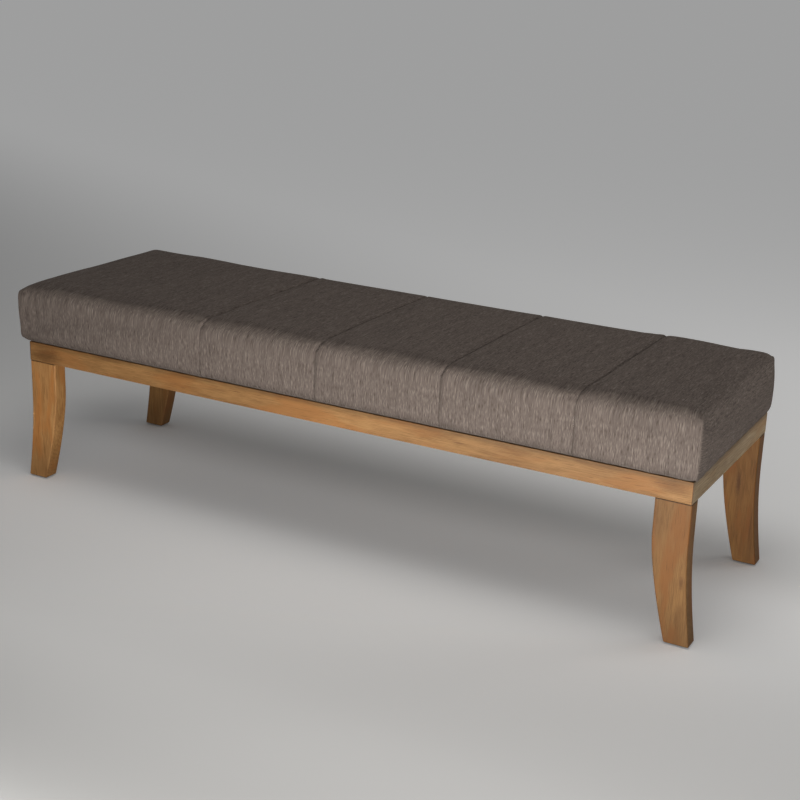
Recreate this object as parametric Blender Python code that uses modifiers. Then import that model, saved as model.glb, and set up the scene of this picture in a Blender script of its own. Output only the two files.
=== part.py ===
"""Upholstered bench: a channelled seat pad on a mitred oak frame with four sabre legs.

Lengths are in metres. +X runs to the right along the bench, -Y is its front and +Z is up.
The origin lies on the floor under the middle of the seat.
"""

import math

import bmesh
import bpy
from mathutils import Matrix, Vector
from mathutils.geometry import interpolate_bezier

# Frame
FRAME_LENGTH = 1.500
FRAME_DEPTH = 0.450
RAIL_HEIGHT = 0.042
RAIL_THICKNESS = 0.018
RAIL_EASE = 0.0012
JOINT_GAP = 0.0003

# Loose tongue in each mitre
SPLINE_THICKNESS = 0.003
SPLINE_WIDTH = 0.014
SPLINE_HEIGHT = 0.034
SPLINE_FROM_CORNER = 0.017

# Sabre legs
LEG_HEIGHT = 0.274
LEG_WIDTH = 0.068
LEG_DEPTH = 0.034
LEG_EASE = 0.0025
FOOT_WIDTH = 0.0475
FOOT_KICK = 0.019
SABRE_START = 0.212
OUTER_HANDLE_SHARES = (0.43, 0.28)
OUTER_RAKE_SHARE = 0.15
INNER_HANDLE_SHARES = (0.28, 0.28)
INNER_RAKE_SHARE = 0.29
SABRE_STEPS = 9

# Joint between a leg and the frame
DOWEL_DIAMETER = 0.008
DOWEL_LENGTH = 0.040
DOWEL_CHAMFER = 0.001
DOWEL_FROM_END = 0.026
DOWEL_PITCH = 0.026
BLOCK_SIDE = 0.075
BLOCK_CLIP = 0.012
BLOCK_HEIGHT = 0.025
BOLT_DIAMETER = 0.006
BOLT_IN_LEG = 0.030
BOLT_POINT = 0.004
BOLT_OVER_NUT = 0.002
BOLT_CHAMFER = 0.0008
BOLT_FROM_END = 0.043
WASHER_DIAMETER = 0.012
WASHER_THICKNESS = 0.0016
NUT_ACROSS_FLATS = 0.010
NUT_HEIGHT = 0.005

# Glide under each foot
GLIDE_DIAMETER = 0.020
GLIDE_THICKNESS = 0.002
GLIDE_EASE = 0.0007
GLIDE_PIN_DIAMETER = 0.0026
GLIDE_PIN_LENGTH = 0.014

# Rails that cross the frame under the seat
CROSS_RAIL_FROM_END = 0.300
CROSS_RAIL_WIDTH = 0.045
CROSS_RAIL_HEIGHT = 0.025
TENON_LENGTH = 0.008
TENON_SHOULDER = 0.006
SCREW_FROM_RAIL = 0.060
SCREW_DIAMETER = 0.0045
SCREW_HEAD_DIAMETER = 0.0085
SCREW_HEAD_HEIGHT = 0.003
SCREW_HEAD_RIM = 0.0004
SCREW_POINT = 0.005
SCREW_IN_BOARD = 0.009

# Seat pad, outermost layer first
SEAT_OVERHANG = 0.006
SEAT_HEIGHT = 0.122
COVER_THICKNESS = 0.0012
LAYER_GAP = 0.0006
HEM_WIDTH = 0.030
WADDING_THICKNESS = 0.006
BOARD_THICKNESS = 0.012
BOARD_INSET = 0.016
DUST_CLOTH_THICKNESS = 0.0005
DUST_CLOTH_INSET = 0.002

# Form of the pad
FRONT_RADIUS = 0.025
END_RADIUS = 0.016
CORNER_RADIUS = 0.005
HEM_ROUND = 0.012
HEM_RISE = 0.018
CROWN = 0.006
BELLY = 0.0025
DRAW_IN = 0.0015
PANEL_COUNT = 5
PANEL_WIDTH = 0.272
RIGHT_PANEL_WIDTH = 0.222
LEFT_PANEL_CUT_SHARES = (0.5, 1.0)
CHANNEL_DEPTH = 0.0035
SIDE_CHANNEL_DEPTH = 0.0020
CHANNEL_REACH = 0.036
CHANNEL_CUT_SHARES = (0.22, 1.0)
TOP_CUT_SHARES = (-0.5, 0.0, 0.5)

# How far a cutter runs past the face that it opens
OVERRUN = 0.004

# Points closer together than this are one point
WELD_DISTANCE = 0.00003

# Angles, counts and shares that shape the meshes
MITRE_ANGLE = math.radians(45)
QUARTER_TURN = math.radians(90)
SHARP_ANGLE = math.radians(35)
ARRIS_ANGLE = math.radians(50)
FLAT_ANGLE = math.radians(1)
PARALLEL_SHARE = 0.999999
ROUNDING_STEP_SHARE = math.tan(math.radians(22.5))
LEAST_ROUND_SHARE = 0.25
ROUND_SEGMENTS = 12
NUT_SIDES = 6

# Levels and places that follow from the sizes above
RAIL_TOP = LEG_HEIGHT + RAIL_HEIGHT
LEG_TOP = LEG_HEIGHT - JOINT_GAP
LEG_BOTTOM = GLIDE_THICKNESS + JOINT_GAP
BLOCK_TOP = LEG_HEIGHT + BLOCK_HEIGHT
CLOTH_BOTTOM = RAIL_TOP + JOINT_GAP
COVER_BOTTOM = CLOTH_BOTTOM + DUST_CLOTH_THICKNESS + JOINT_GAP
BOARD_BOTTOM = COVER_BOTTOM + COVER_THICKNESS + JOINT_GAP
BOARD_TOP = BOARD_BOTTOM + BOARD_THICKNESS
SEAT_TOP = RAIL_TOP + SEAT_HEIGHT
CROSS_RAIL_BOTTOM = RAIL_TOP - CROSS_RAIL_HEIGHT
CORNERS = [
    (x_name, x_side, y_name, y_side)
    for x_name, x_side in (("left", -1), ("right", 1))
    for y_name, y_side in (("front", -1), ("back", 1))
]
CROSS_RAIL_PLACES = (
    ("left", CROSS_RAIL_FROM_END - FRAME_LENGTH / 2),
    ("middle", 0.0),
    ("right", FRAME_LENGTH / 2 - CROSS_RAIL_FROM_END),
)
LAST_SEAM = FRAME_LENGTH / 2 + SEAT_OVERHANG - RIGHT_PANEL_WIDTH

# Colour, roughness and metallic value of each finish
FINISHES = {
    "oak": ((0.42, 0.23, 0.10), 0.5, 0.0),
    "beech": ((0.55, 0.40, 0.25), 0.6, 0.0),
    "pine": ((0.60, 0.45, 0.27), 0.65, 0.0),
    "plywood": ((0.58, 0.44, 0.28), 0.65, 0.0),
    "zinc_steel": ((0.62, 0.63, 0.64), 0.35, 1.0),
    "nylon": ((0.10, 0.09, 0.08), 0.5, 0.0),
    "foam": ((0.85, 0.80, 0.62), 0.95, 0.0),
    "wadding": ((0.88, 0.88, 0.86), 1.0, 0.0),
    "taupe_weave": ((0.115, 0.095, 0.082), 0.9, 0.0),
    "black_cloth": ((0.02, 0.02, 0.02), 0.95, 0.0),
}


def clear_scene():
    for obj in list(bpy.data.objects):
        bpy.data.objects.remove(obj)


def make_collection(name):
    collection = bpy.data.collections.new(name)
    bpy.context.scene.collection.children.link(collection)
    return collection


def make_materials():
    made = {}
    for name, (colour, roughness, metallic) in FINISHES.items():
        material = bpy.data.materials.new(name)
        material.use_nodes = True
        shader = material.node_tree.nodes["Principled BSDF"]
        shader.inputs["Base Color"].default_value = (*colour, 1.0)
        shader.inputs["Roughness"].default_value = roughness
        shader.inputs["Metallic"].default_value = metallic
        made[name] = material
    return made


class Workshop:
    """Keeps the collections, the finishes and the empty that every piece hangs on."""

    def __init__(self):
        clear_scene()
        self.pieces = make_collection("upholstered_bench")
        self.cutters = make_collection("cutters")
        self.materials = make_materials()
        self.anchor = bpy.data.objects.new("bench_origin", None)
        self.pieces.objects.link(self.anchor)

    def add(self, name, mesh, finish, location=(0, 0, 0), rotation=(0, 0, 0)):
        obj = bpy.data.objects.new(name, mesh)
        obj.location = location
        obj.rotation_euler = rotation
        obj.parent = self.anchor
        mesh.materials.append(self.materials[finish])
        self.pieces.objects.link(obj)
        return obj

    def add_cutter(self, name, mesh, location=(0, 0, 0), rotation=(0, 0, 0)):
        obj = bpy.data.objects.new(name, mesh)
        obj.location = location
        obj.rotation_euler = rotation
        obj.parent = self.anchor
        obj.hide_render = True
        obj.display_type = "WIRE"
        self.cutters.objects.link(obj)
        return obj


def mesh_from(name, bm):
    mesh = bpy.data.meshes.new(name)
    bm.to_mesh(mesh)
    bm.free()
    return mesh


def smooth(obj):
    obj.data.shade_smooth()
    obj.data.set_sharp_from_angle(angle=SHARP_ANGLE)


def box_mesh(name, size):
    bm = bmesh.new()
    bmesh.ops.create_cube(bm, size=1.0, matrix=Matrix.Diagonal((*size, 1.0)))
    return mesh_from(name, bm)


def rod_mesh(name, diameter, length, segments=ROUND_SEGMENTS, chamfer=0.0):
    bm = bmesh.new()
    radius = diameter / 2
    bmesh.ops.create_cone(
        bm, cap_ends=True, segments=segments, radius1=radius, radius2=radius, depth=length
    )
    if chamfer:
        rims = [edge for edge in bm.edges if edge.calc_face_angle() > ARRIS_ANGLE]
        bmesh.ops.bevel(bm, geom=rims, offset=chamfer, segments=1, affect="EDGES")
    return mesh_from(name, bm)


def profile_mesh(name, profile, closed=False):
    """A line of (radius, height) points, top to bottom, for a Screw modifier to turn."""
    mesh = bpy.data.meshes.new(name)
    points = [(radius, 0, height) for radius, height in profile]
    edges = [(i, i + 1) for i in range(len(points) - 1)]
    if closed:
        edges.append((len(points) - 1, 0))
    mesh.from_pydata(points, edges, [])
    return mesh


def turn(obj):
    """Turns the object's profile round its own Z axis."""
    screw = obj.modifiers.new("turn", "SCREW")
    screw.steps = screw.render_steps = ROUND_SEGMENTS
    screw.use_merge_vertices = True
    screw.merge_threshold = WELD_DISTANCE
    return obj


def plate_mesh(name, outline, thickness):
    """A flat outline in XY, filled and given its thickness along Z, as a closed mesh."""
    curve = bpy.data.curves.new(name, "CURVE")
    curve.dimensions = "2D"
    curve.fill_mode = "BOTH"
    curve.extrude = thickness / 2
    spline = curve.splines.new("POLY")
    spline.points.add(len(outline) - 1)
    for point, (x, y) in zip(spline.points, outline):
        point.co = (x, y, 0, 1)
    spline.use_cyclic_u = True
    holder = bpy.data.objects.new(name, curve)
    bpy.context.scene.collection.objects.link(holder)
    graph = bpy.context.evaluated_depsgraph_get()
    mesh = bpy.data.meshes.new_from_object(holder.evaluated_get(graph))
    bpy.data.objects.remove(holder)
    bm = bmesh.new()
    bm.from_mesh(mesh)
    bmesh.ops.remove_doubles(bm, verts=bm.verts, dist=WELD_DISTANCE)
    bmesh.ops.dissolve_limit(bm, angle_limit=FLAT_ANGLE, verts=bm.verts, edges=bm.edges)
    bmesh.ops.recalc_face_normals(bm, faces=bm.faces)
    bm.to_mesh(mesh)
    bm.free()
    mesh.name = name
    return mesh


def ease(mesh, width, chosen, segments=2):
    """Rounds the edges that the given test picks."""
    bm = bmesh.new()
    bm.from_mesh(mesh)
    edges = [edge for edge in bm.edges if chosen(edge)]
    bmesh.ops.bevel(
        bm, geom=edges, offset=width, segments=segments, profile=0.5, affect="EDGES"
    )
    bm.to_mesh(mesh)
    bm.free()


def cut(obj, cutter):
    boolean = obj.modifiers.new(cutter.name, "BOOLEAN")
    boolean.operation = "DIFFERENCE"
    boolean.solver = "EXACT"
    boolean.object = cutter


def bolt_place(x_side, y_side):
    """A leg's bolt stands midway across the ledge that the leg leaves behind its rail."""
    x = x_side * (FRAME_LENGTH / 2 - BOLT_FROM_END)
    y = y_side * (FRAME_DEPTH / 2 - (RAIL_THICKNESS + LEG_DEPTH) / 2)
    return x, y


def dowel_places(x_side, y_side):
    """A leg's two dowels stand in the middle of the long rail's thickness."""
    y = y_side * (FRAME_DEPTH / 2 - RAIL_THICKNESS / 2)
    return [
        (name, x_side * (FRAME_LENGTH / 2 - DOWEL_FROM_END - step * DOWEL_PITCH), y)
        for step, name in enumerate(("outer", "inner"))
    ]


def glide_place(x_side, y_side):
    """A glide sits in the middle of the foot's underside."""
    x = x_side * (FRAME_LENGTH / 2 + FOOT_KICK - FOOT_WIDTH / 2)
    y = y_side * (FRAME_DEPTH / 2 - LEG_DEPTH / 2)
    return x, y


def bolt_profile(grow=0.0):
    """A hanger bolt from its top down to the point in the leg, larger all round by grow."""
    radius = BOLT_DIAMETER / 2 + grow
    top = BLOCK_TOP + WASHER_THICKNESS + NUT_HEIGHT + 2 * JOINT_GAP + BOLT_OVER_NUT + grow
    foot = LEG_TOP - BOLT_IN_LEG - grow
    return [
        (0, top),
        (radius - BOLT_CHAMFER, top),
        (radius, top - BOLT_CHAMFER),
        (radius, foot + BOLT_POINT),
        (0, foot),
    ]


def screw_profile(grow=0.0):
    """A countersunk screw driven upwards, from its point down to its head."""
    radius = SCREW_DIAMETER / 2 + grow
    head = SCREW_HEAD_DIAMETER / 2 + grow
    tip = BOARD_BOTTOM + SCREW_IN_BOARD + grow
    seat = CROSS_RAIL_BOTTOM + JOINT_GAP
    base = seat - (OVERRUN if grow else 0)
    return [
        (0, tip),
        (radius, tip - SCREW_POINT),
        (radius, seat + SCREW_HEAD_HEIGHT + grow),
        (head, seat + SCREW_HEAD_RIM + grow),
        (head, base),
        (0, base),
    ]


def glide_profile(grow=0.0):
    """A nail glide: a thin pin on a domed disc, from the pin's point down."""
    pin = GLIDE_PIN_DIAMETER / 2 + grow
    disc = GLIDE_DIAMETER / 2
    tip = GLIDE_THICKNESS + GLIDE_PIN_LENGTH + grow
    if grow:
        return [
            (0, tip),
            (pin, tip - GLIDE_PIN_DIAMETER),
            (pin, GLIDE_THICKNESS - OVERRUN),
            (0, GLIDE_THICKNESS - OVERRUN),
        ]
    return [
        (0, tip),
        (pin, tip - GLIDE_PIN_DIAMETER),
        (pin, GLIDE_THICKNESS),
        (disc, GLIDE_THICKNESS),
        (disc, GLIDE_EASE),
        (disc - GLIDE_EASE, 0),
        (0, 0),
    ]


def turned_cutter(shop, name, profile, place):
    mesh = profile_mesh(name, profile)
    return turn(shop.add_cutter(name, mesh, (*place, 0)))


def rod_cutter(shop, name, diameter, bottom, top, place):
    mesh = rod_mesh(name, diameter, top - bottom)
    return shop.add_cutter(name, mesh, (*place, (top + bottom) / 2))


class JointCutters:
    """The holes and slots that the pieces of the frame share."""

    def __init__(self, shop):
        self.bolts, self.dowels, self.glides, self.splines = {}, {}, {}, {}
        self.mortises, self.screws = [], []
        reach = DOWEL_LENGTH / 2 + JOINT_GAP
        for x_name, x_side, y_name, y_side in CORNERS:
            key = (x_side, y_side)
            tag = f"{y_name}_{x_name}"
            self.bolts[key] = turned_cutter(
                shop, f"hole_bolt_{tag}", bolt_profile(JOINT_GAP), bolt_place(*key)
            )
            self.glides[key] = turned_cutter(
                shop, f"hole_glide_{tag}", glide_profile(JOINT_GAP), glide_place(*key)
            )
            self.dowels[key] = [
                rod_cutter(
                    shop,
                    f"hole_dowel_{tag}_{name}",
                    DOWEL_DIAMETER + 2 * JOINT_GAP,
                    LEG_HEIGHT - reach,
                    LEG_HEIGHT + reach,
                    (x, y),
                )
                for name, x, y in dowel_places(*key)
            ]
            size = [
                side + 2 * JOINT_GAP
                for side in (SPLINE_WIDTH, SPLINE_THICKNESS, SPLINE_HEIGHT)
            ]
            place, turned = spline_place(x_side, y_side)
            self.splines[key] = shop.add_cutter(
                f"slot_spline_{tag}", box_mesh("slot_spline", size), place, turned
            )
        self.make_cross_rail_cutters(shop)

    def make_cross_rail_cutters(self, shop):
        width = CROSS_RAIL_WIDTH - 2 * TENON_SHOULDER + 2 * JOINT_GAP
        height = CROSS_RAIL_HEIGHT - 2 * TENON_SHOULDER + 2 * JOINT_GAP
        depth = TENON_LENGTH + JOINT_GAP
        inner = FRAME_DEPTH / 2 - RAIL_THICKNESS
        for name, x in CROSS_RAIL_PLACES:
            for side_name, side in (("front", -1), ("back", 1)):
                mesh = box_mesh("mortise", (width, depth + OVERRUN, height))
                y = side * (inner + (depth - OVERRUN) / 2)
                z = RAIL_TOP - CROSS_RAIL_HEIGHT / 2
                self.mortises.append(
                    (side, shop.add_cutter(f"mortise_{name}_{side_name}", mesh, (x, y, z)))
                )
                self.screws.append(
                    (
                        name,
                        turned_cutter(
                            shop,
                            f"hole_screw_{name}_{side_name}",
                            screw_profile(JOINT_GAP),
                            (x, side * (inner - SCREW_FROM_RAIL)),
                        ),
                    )
                )


def spline_place(x_side, y_side):
    """A spline crosses the mitre at a right angle, standing upright in it."""
    along = SPLINE_FROM_CORNER * math.cos(MITRE_ANGLE)
    place = (
        x_side * (FRAME_LENGTH / 2 - along),
        y_side * (FRAME_DEPTH / 2 - along),
        LEG_HEIGHT + RAIL_HEIGHT / 2,
    )
    return place, (0, 0, -MITRE_ANGLE * x_side * y_side)


def make_rails(shop, cutters):
    """Four rails, mitred at the corners, with their long arrises eased."""
    back_off = JOINT_GAP * math.cos(MITRE_ANGLE)
    spans = {
        "long": (FRAME_LENGTH / 2 - back_off, FRAME_DEPTH / 2),
        "short": (FRAME_DEPTH / 2 - back_off, FRAME_LENGTH / 2),
    }
    for name, kind, side in (
        ("front_rail", "long", -1),
        ("back_rail", "long", 1),
        ("left_rail", "short", -1),
        ("right_rail", "short", 1),
    ):
        half, face = spans[kind]
        outline = [
            (-half, side * face),
            (half, side * face),
            (half - RAIL_THICKNESS, side * (face - RAIL_THICKNESS)),
            (RAIL_THICKNESS - half, side * (face - RAIL_THICKNESS)),
        ]
        if kind == "short":
            outline = [(y, x) for x, y in outline]
        mesh = plate_mesh(name, outline, RAIL_HEIGHT)
        run = ("long", "short").index(kind)
        ease(mesh, RAIL_EASE, lambda edge: is_along(edge, run))
        rail = shop.add(name, mesh, "oak", (0, 0, LEG_HEIGHT + RAIL_HEIGHT / 2))
        for (x_side, y_side), slot in cutters.splines.items():
            if side == (y_side if kind == "long" else x_side):
                cut(rail, slot)
        if kind == "long":
            for (x_side, y_side), holes in cutters.dowels.items():
                for hole in holes if y_side == side else ():
                    cut(rail, hole)
            for mortise_side, mortise in cutters.mortises:
                if mortise_side == side:
                    cut(rail, mortise)
        smooth(rail)


def is_along(edge, axis):
    direction = (edge.verts[1].co - edge.verts[0].co).normalized()
    return abs(direction[axis]) > PARALLEL_SHARE


def make_splines(shop):
    for x_name, x_side, y_name, y_side in CORNERS:
        name = f"mitre_spline_{y_name}_{x_name}"
        place, turned = spline_place(x_side, y_side)
        mesh = box_mesh(name, (SPLINE_WIDTH, SPLINE_THICKNESS, SPLINE_HEIGHT))
        shop.add(name, mesh, "beech", place, turned)


def sabre_edge(start_x, foot_x, handle_shares, rake_share):
    """Points down one edge of a leg, from where the sweep starts to the floor end."""
    drop = SABRE_START - LEG_BOTTOM
    start = Vector((start_x, SABRE_START))
    foot = Vector((foot_x, LEG_BOTTOM))
    first = start - Vector((0, drop * handle_shares[0]))
    rise = drop * handle_shares[1]
    last = foot + Vector((-rise * rake_share, rise))
    return interpolate_bezier(start, first, last, foot, SABRE_STEPS)


def leg_outline(x_side):
    """A leg seen from the front, with x measured outwards from the end of the frame."""
    outer = sabre_edge(0, FOOT_KICK, OUTER_HANDLE_SHARES, OUTER_RAKE_SHARE)
    inner = sabre_edge(-LEG_WIDTH, FOOT_KICK - FOOT_WIDTH, INNER_HANDLE_SHARES, INNER_RAKE_SHARE)
    points = [(0, LEG_TOP), *outer, *reversed(inner), (-LEG_WIDTH, LEG_TOP)]
    return [(x_side * point[0], point[1]) for point in points]


def make_legs(shop, cutters):
    """Sabre legs, cut from the flat with their outer faces flush with the frame."""
    for x_name, x_side, y_name, y_side in CORNERS:
        name = f"leg_{y_name}_{x_name}"
        mesh = plate_mesh(name, leg_outline(x_side), LEG_DEPTH)
        ease(
            mesh,
            LEG_EASE,
            lambda edge: edge.calc_face_angle() > ARRIS_ANGLE
            and min(vert.co.y for vert in edge.verts) < LEG_TOP - JOINT_GAP,
        )
        place = (x_side * FRAME_LENGTH / 2, y_side * (FRAME_DEPTH / 2 - LEG_DEPTH / 2), 0)
        leg = shop.add(name, mesh, "oak", place, (QUARTER_TURN, 0, 0))
        key = (x_side, y_side)
        for hole in (*cutters.dowels[key], cutters.bolts[key], cutters.glides[key]):
            cut(leg, hole)
        smooth(leg)


def make_leg_dowels(shop):
    for x_name, x_side, y_name, y_side in CORNERS:
        for place_name, x, y in dowel_places(x_side, y_side):
            name = f"leg_dowel_{y_name}_{x_name}_{place_name}"
            mesh = rod_mesh(name, DOWEL_DIAMETER, DOWEL_LENGTH, chamfer=DOWEL_CHAMFER)
            smooth(shop.add(name, mesh, "beech", (x, y, LEG_HEIGHT)))


def make_corner_blocks(shop, cutters):
    """Three-cornered blocks in the angles of the frame, which the legs are bolted to."""
    side = BLOCK_SIDE
    outline = [(0, 0), (side, 0), (side, BLOCK_CLIP), (BLOCK_CLIP, side), (0, side)]
    inset = RAIL_THICKNESS + JOINT_GAP
    for x_name, x_side, y_name, y_side in CORNERS:
        name = f"corner_block_{y_name}_{x_name}"
        turned = [(-x_side * x, -y_side * y) for x, y in outline]
        mesh = plate_mesh(name, turned, BLOCK_HEIGHT)
        place = (
            x_side * (FRAME_LENGTH / 2 - inset),
            y_side * (FRAME_DEPTH / 2 - inset),
            LEG_HEIGHT + BLOCK_HEIGHT / 2,
        )
        block = shop.add(name, mesh, "beech", place)
        cut(block, cutters.bolts[(x_side, y_side)])


def make_leg_bolts(shop):
    """Each leg's hanger bolt, with the washer and nut that draw the leg up to its block."""
    washer_bottom = BLOCK_TOP + JOINT_GAP
    washer_top = washer_bottom + WASHER_THICKNESS
    bore = BOLT_DIAMETER / 2 + JOINT_GAP
    rim = WASHER_DIAMETER / 2
    ring = [(rim, washer_top), (rim, washer_bottom), (bore, washer_bottom), (bore, washer_top)]
    nut_width = NUT_ACROSS_FLATS / math.cos(math.pi / NUT_SIDES)
    nut_bottom = washer_top + JOINT_GAP
    nut_top = nut_bottom + NUT_HEIGHT
    for x_name, x_side, y_name, y_side in CORNERS:
        tag = f"{y_name}_{x_name}"
        place = bolt_place(x_side, y_side)
        shank = profile_mesh("leg_bolt", bolt_profile())
        bolt = shop.add(f"leg_bolt_{tag}", shank, "zinc_steel", (*place, 0))
        smooth(turn(bolt))
        section = profile_mesh("washer", ring, closed=True)
        washer = shop.add(f"washer_{tag}", section, "zinc_steel", (*place, 0))
        smooth(turn(washer))
        mesh = rod_mesh("nut", nut_width, NUT_HEIGHT, segments=NUT_SIDES)
        centre = (*place, (nut_bottom + nut_top) / 2)
        nut = shop.add(f"nut_{tag}", mesh, "zinc_steel", centre)
        span = (nut_bottom - OVERRUN, nut_top + OVERRUN)
        cut(nut, rod_cutter(shop, f"bore_nut_{tag}", 2 * bore, *span, place))


def make_glides(shop):
    for x_name, x_side, y_name, y_side in CORNERS:
        mesh = profile_mesh("foot_glide", glide_profile())
        place = (*glide_place(x_side, y_side), 0)
        glide = shop.add(f"foot_glide_{y_name}_{x_name}", mesh, "nylon", place)
        smooth(turn(glide))


def make_cross_rails(shop, cutters):
    """Rails between front and back, stub tenoned at both ends and level with the frame."""
    length = FRAME_DEPTH - 2 * RAIL_THICKNESS - 2 * JOINT_GAP
    for place_name, x in CROSS_RAIL_PLACES:
        name = f"cross_rail_{place_name}"
        bm = bmesh.new()
        size = (CROSS_RAIL_WIDTH, length, CROSS_RAIL_HEIGHT, 1.0)
        bmesh.ops.create_cube(bm, size=1.0, matrix=Matrix.Diagonal(size))
        for side in (-1, 1):
            end = max(bm.faces, key=lambda face: side * face.calc_center_median().y)
            bmesh.ops.inset_region(bm, faces=[end], thickness=TENON_SHOULDER, use_even_offset=True)
            grown = bmesh.ops.extrude_discrete_faces(bm, faces=[end])["faces"]
            moved = {vert for face in grown for vert in face.verts}
            bmesh.ops.translate(bm, verts=list(moved), vec=(0, side * TENON_LENGTH, 0))
        place = (x, 0, RAIL_TOP - CROSS_RAIL_HEIGHT / 2)
        rail = shop.add(name, mesh_from(name, bm), "pine", place)
        for screw_name, hole in cutters.screws:
            if screw_name == place_name:
                cut(rail, hole)


def make_seat_screws(shop):
    inner = FRAME_DEPTH / 2 - RAIL_THICKNESS
    for place_name, x in CROSS_RAIL_PLACES:
        for side_name, side in (("front", -1), ("back", 1)):
            mesh = profile_mesh("seat_screw", screw_profile())
            place = (x, side * (inner - SCREW_FROM_RAIL), 0)
            screw = shop.add(f"seat_screw_{place_name}_{side_name}", mesh, "zinc_steel", place)
            smooth(turn(screw))


def seam_places():
    """Where the seams between the panels of the cover cross the bench, from the left."""
    return [LAST_SEAM - i * PANEL_WIDTH for i in reversed(range(PANEL_COUNT - 1))]


def rounded(a, b, half_a, half_b, radius_a, radius_b):
    """Draws a point near the edge where two faces meet in onto an elliptical rounding."""
    over_a = max(0.0, (abs(a) - half_a + radius_a) / radius_a)
    over_b = max(0.0, (abs(b) - half_b + radius_b) / radius_b)
    if not over_a or not over_b:
        return a, b
    scale = max(over_a, over_b) / math.hypot(over_a, over_b)
    new_a = half_a - radius_a + over_a * scale * radius_a
    new_b = half_b - radius_b + over_b * scale * radius_b
    return math.copysign(new_a, a), math.copysign(new_b, b)


class SoftForm:
    """One layer of the pad: a box that is rounded, crowned, drawn in and channelled."""

    def __init__(self, inset, bottom, channelled=True):
        self.half = Vector(
            (
                FRAME_LENGTH / 2 + SEAT_OVERHANG - inset,
                FRAME_DEPTH / 2 + SEAT_OVERHANG - inset,
                (SEAT_TOP - inset - bottom) / 2,
            )
        )
        self.bottom = bottom
        self.middle = bottom + self.half.z
        self.front = FRONT_RADIUS - inset
        self.end = END_RADIUS - inset
        self.corner = max(CORNER_RADIUS - inset, CORNER_RADIUS * LEAST_ROUND_SHARE)
        self.hem = max(HEM_ROUND - inset, HEM_ROUND * LEAST_ROUND_SHARE)
        self.channelled = channelled

    def cage(self):
        """A box cut along every line where the form changes."""
        bm = bmesh.new()
        size = Matrix.Diagonal((*(2 * self.half), 1.0))
        matrix = Matrix.Translation((0, 0, self.middle)) @ size
        bmesh.ops.create_cube(bm, size=1.0, matrix=matrix)
        for axis, places in enumerate(self.cuts()):
            slice_box(bm, axis, places)
        return bm

    def cuts(self):
        """Where the cage is cut along each of its three axes."""
        long = both_ways(self.half.x, (self.end, self.hem, HEM_WIDTH))
        if self.channelled:
            for seam in seam_places():
                away = [share * CHANNEL_REACH for share in CHANNEL_CUT_SHARES]
                long += [seam, seam + PANEL_WIDTH / 2]
                long += [seam + side * step for side in (-1, 1) for step in away]
            first = seam_places()[0]
            long += [first - share * PANEL_WIDTH for share in LEFT_PANEL_CUT_SHARES]
        else:
            long += [share * self.half.x for share in TOP_CUT_SHARES]
        across = both_ways(self.half.y, (self.front, self.hem))
        across += [share * self.half.y for share in TOP_CUT_SHARES]
        top = self.bottom + 2 * self.half.z
        low, high = self.bottom + HEM_RISE, top - self.front
        up = [low, (low + high) / 2, high, high + self.front * ROUNDING_STEP_SHARE]
        return long, across, up

    def surface(self, point):
        """Where a point of the box lies on the finished form."""
        x, y, z = point.x, point.y, point.z - self.middle
        if z > 0:
            y, z = rounded(y, z, self.half.y, self.half.z, self.front, self.front)
            x, z = rounded(x, z, self.half.x, self.half.z, self.end, self.end)
        else:
            y, z = rounded(y, z, self.half.y, self.half.z, self.hem, HEM_RISE)
            x, z = rounded(x, z, self.half.x, self.half.z, self.hem, HEM_RISE)
        x, y = rounded(x, y, self.half.x, self.half.y, self.corner, self.corner)
        along, over = min(1, abs(x) / self.half.x), min(1, abs(y) / self.half.y)
        rise = (z + self.half.z) / (2 * self.half.z)
        lean = BELLY * math.sin(math.pi * rise)
        hollow = DRAW_IN * math.sin(math.pi / 2 * rise)
        dip = self.dip(x) * math.sin(math.pi / 2 * rise)
        x += math.copysign(lean - hollow * (1 - over**2), x) * along
        y += math.copysign(lean - hollow * (1 - along**2) - SIDE_CHANNEL_DEPTH * dip, y) * over
        z += CROWN * rise * (1 - along**2) * (1 - over**2) - CHANNEL_DEPTH * dip * rise**2
        return Vector((x, y, z + self.middle))

    def dip(self, x):
        """How deep the channel is at x, from 0 between the seams to 1 on a seam."""
        if not self.channelled:
            return 0.0
        away = min(abs(x - seam) for seam in seam_places())
        return max(0.0, 1 - away / CHANNEL_REACH) ** 2


def both_ways(half, insets):
    """Places that lie each of the insets in from both ends of a side."""
    return [side * (half - inset) for side in (-1, 1) for inset in insets]


def slice_box(bm, axis, places):
    """Cuts the mesh with a plane across the axis at each of the places."""
    normal = [0, 0, 0]
    normal[axis] = 1
    for place in places:
        point = [0, 0, 0]
        point[axis] = place
        geometry = [*bm.verts, *bm.edges, *bm.faces]
        bmesh.ops.bisect_plane(
            bm, geom=geometry, plane_co=point, plane_no=normal, dist=WELD_DISTANCE
        )


def shaped_mesh(name, form, keep=None, ends=()):
    """A layer's mesh, or the part of it that the keep test leaves."""
    bm = form.cage()
    slice_box(bm, 0, ends)
    if keep:
        dropped = [face for face in bm.faces if not keep(face.calc_center_median())]
        bmesh.ops.delete(bm, geom=dropped, context="FACES")
    for vert in bm.verts:
        vert.co = form.surface(vert.co)
    bmesh.ops.triangulate(bm, faces=bm.faces, quad_method="SHORT_EDGE")
    return mesh_from(name, bm)


def make_seat_board(shop, cutters):
    size = (
        FRAME_LENGTH + 2 * (SEAT_OVERHANG - BOARD_INSET),
        FRAME_DEPTH + 2 * (SEAT_OVERHANG - BOARD_INSET),
        BOARD_THICKNESS,
    )
    place = (0, 0, BOARD_BOTTOM + BOARD_THICKNESS / 2)
    board = shop.add("seat_board", box_mesh("seat_board", size), "plywood", place)
    for _, hole in cutters.screws:
        cut(board, hole)
    return size


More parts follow.
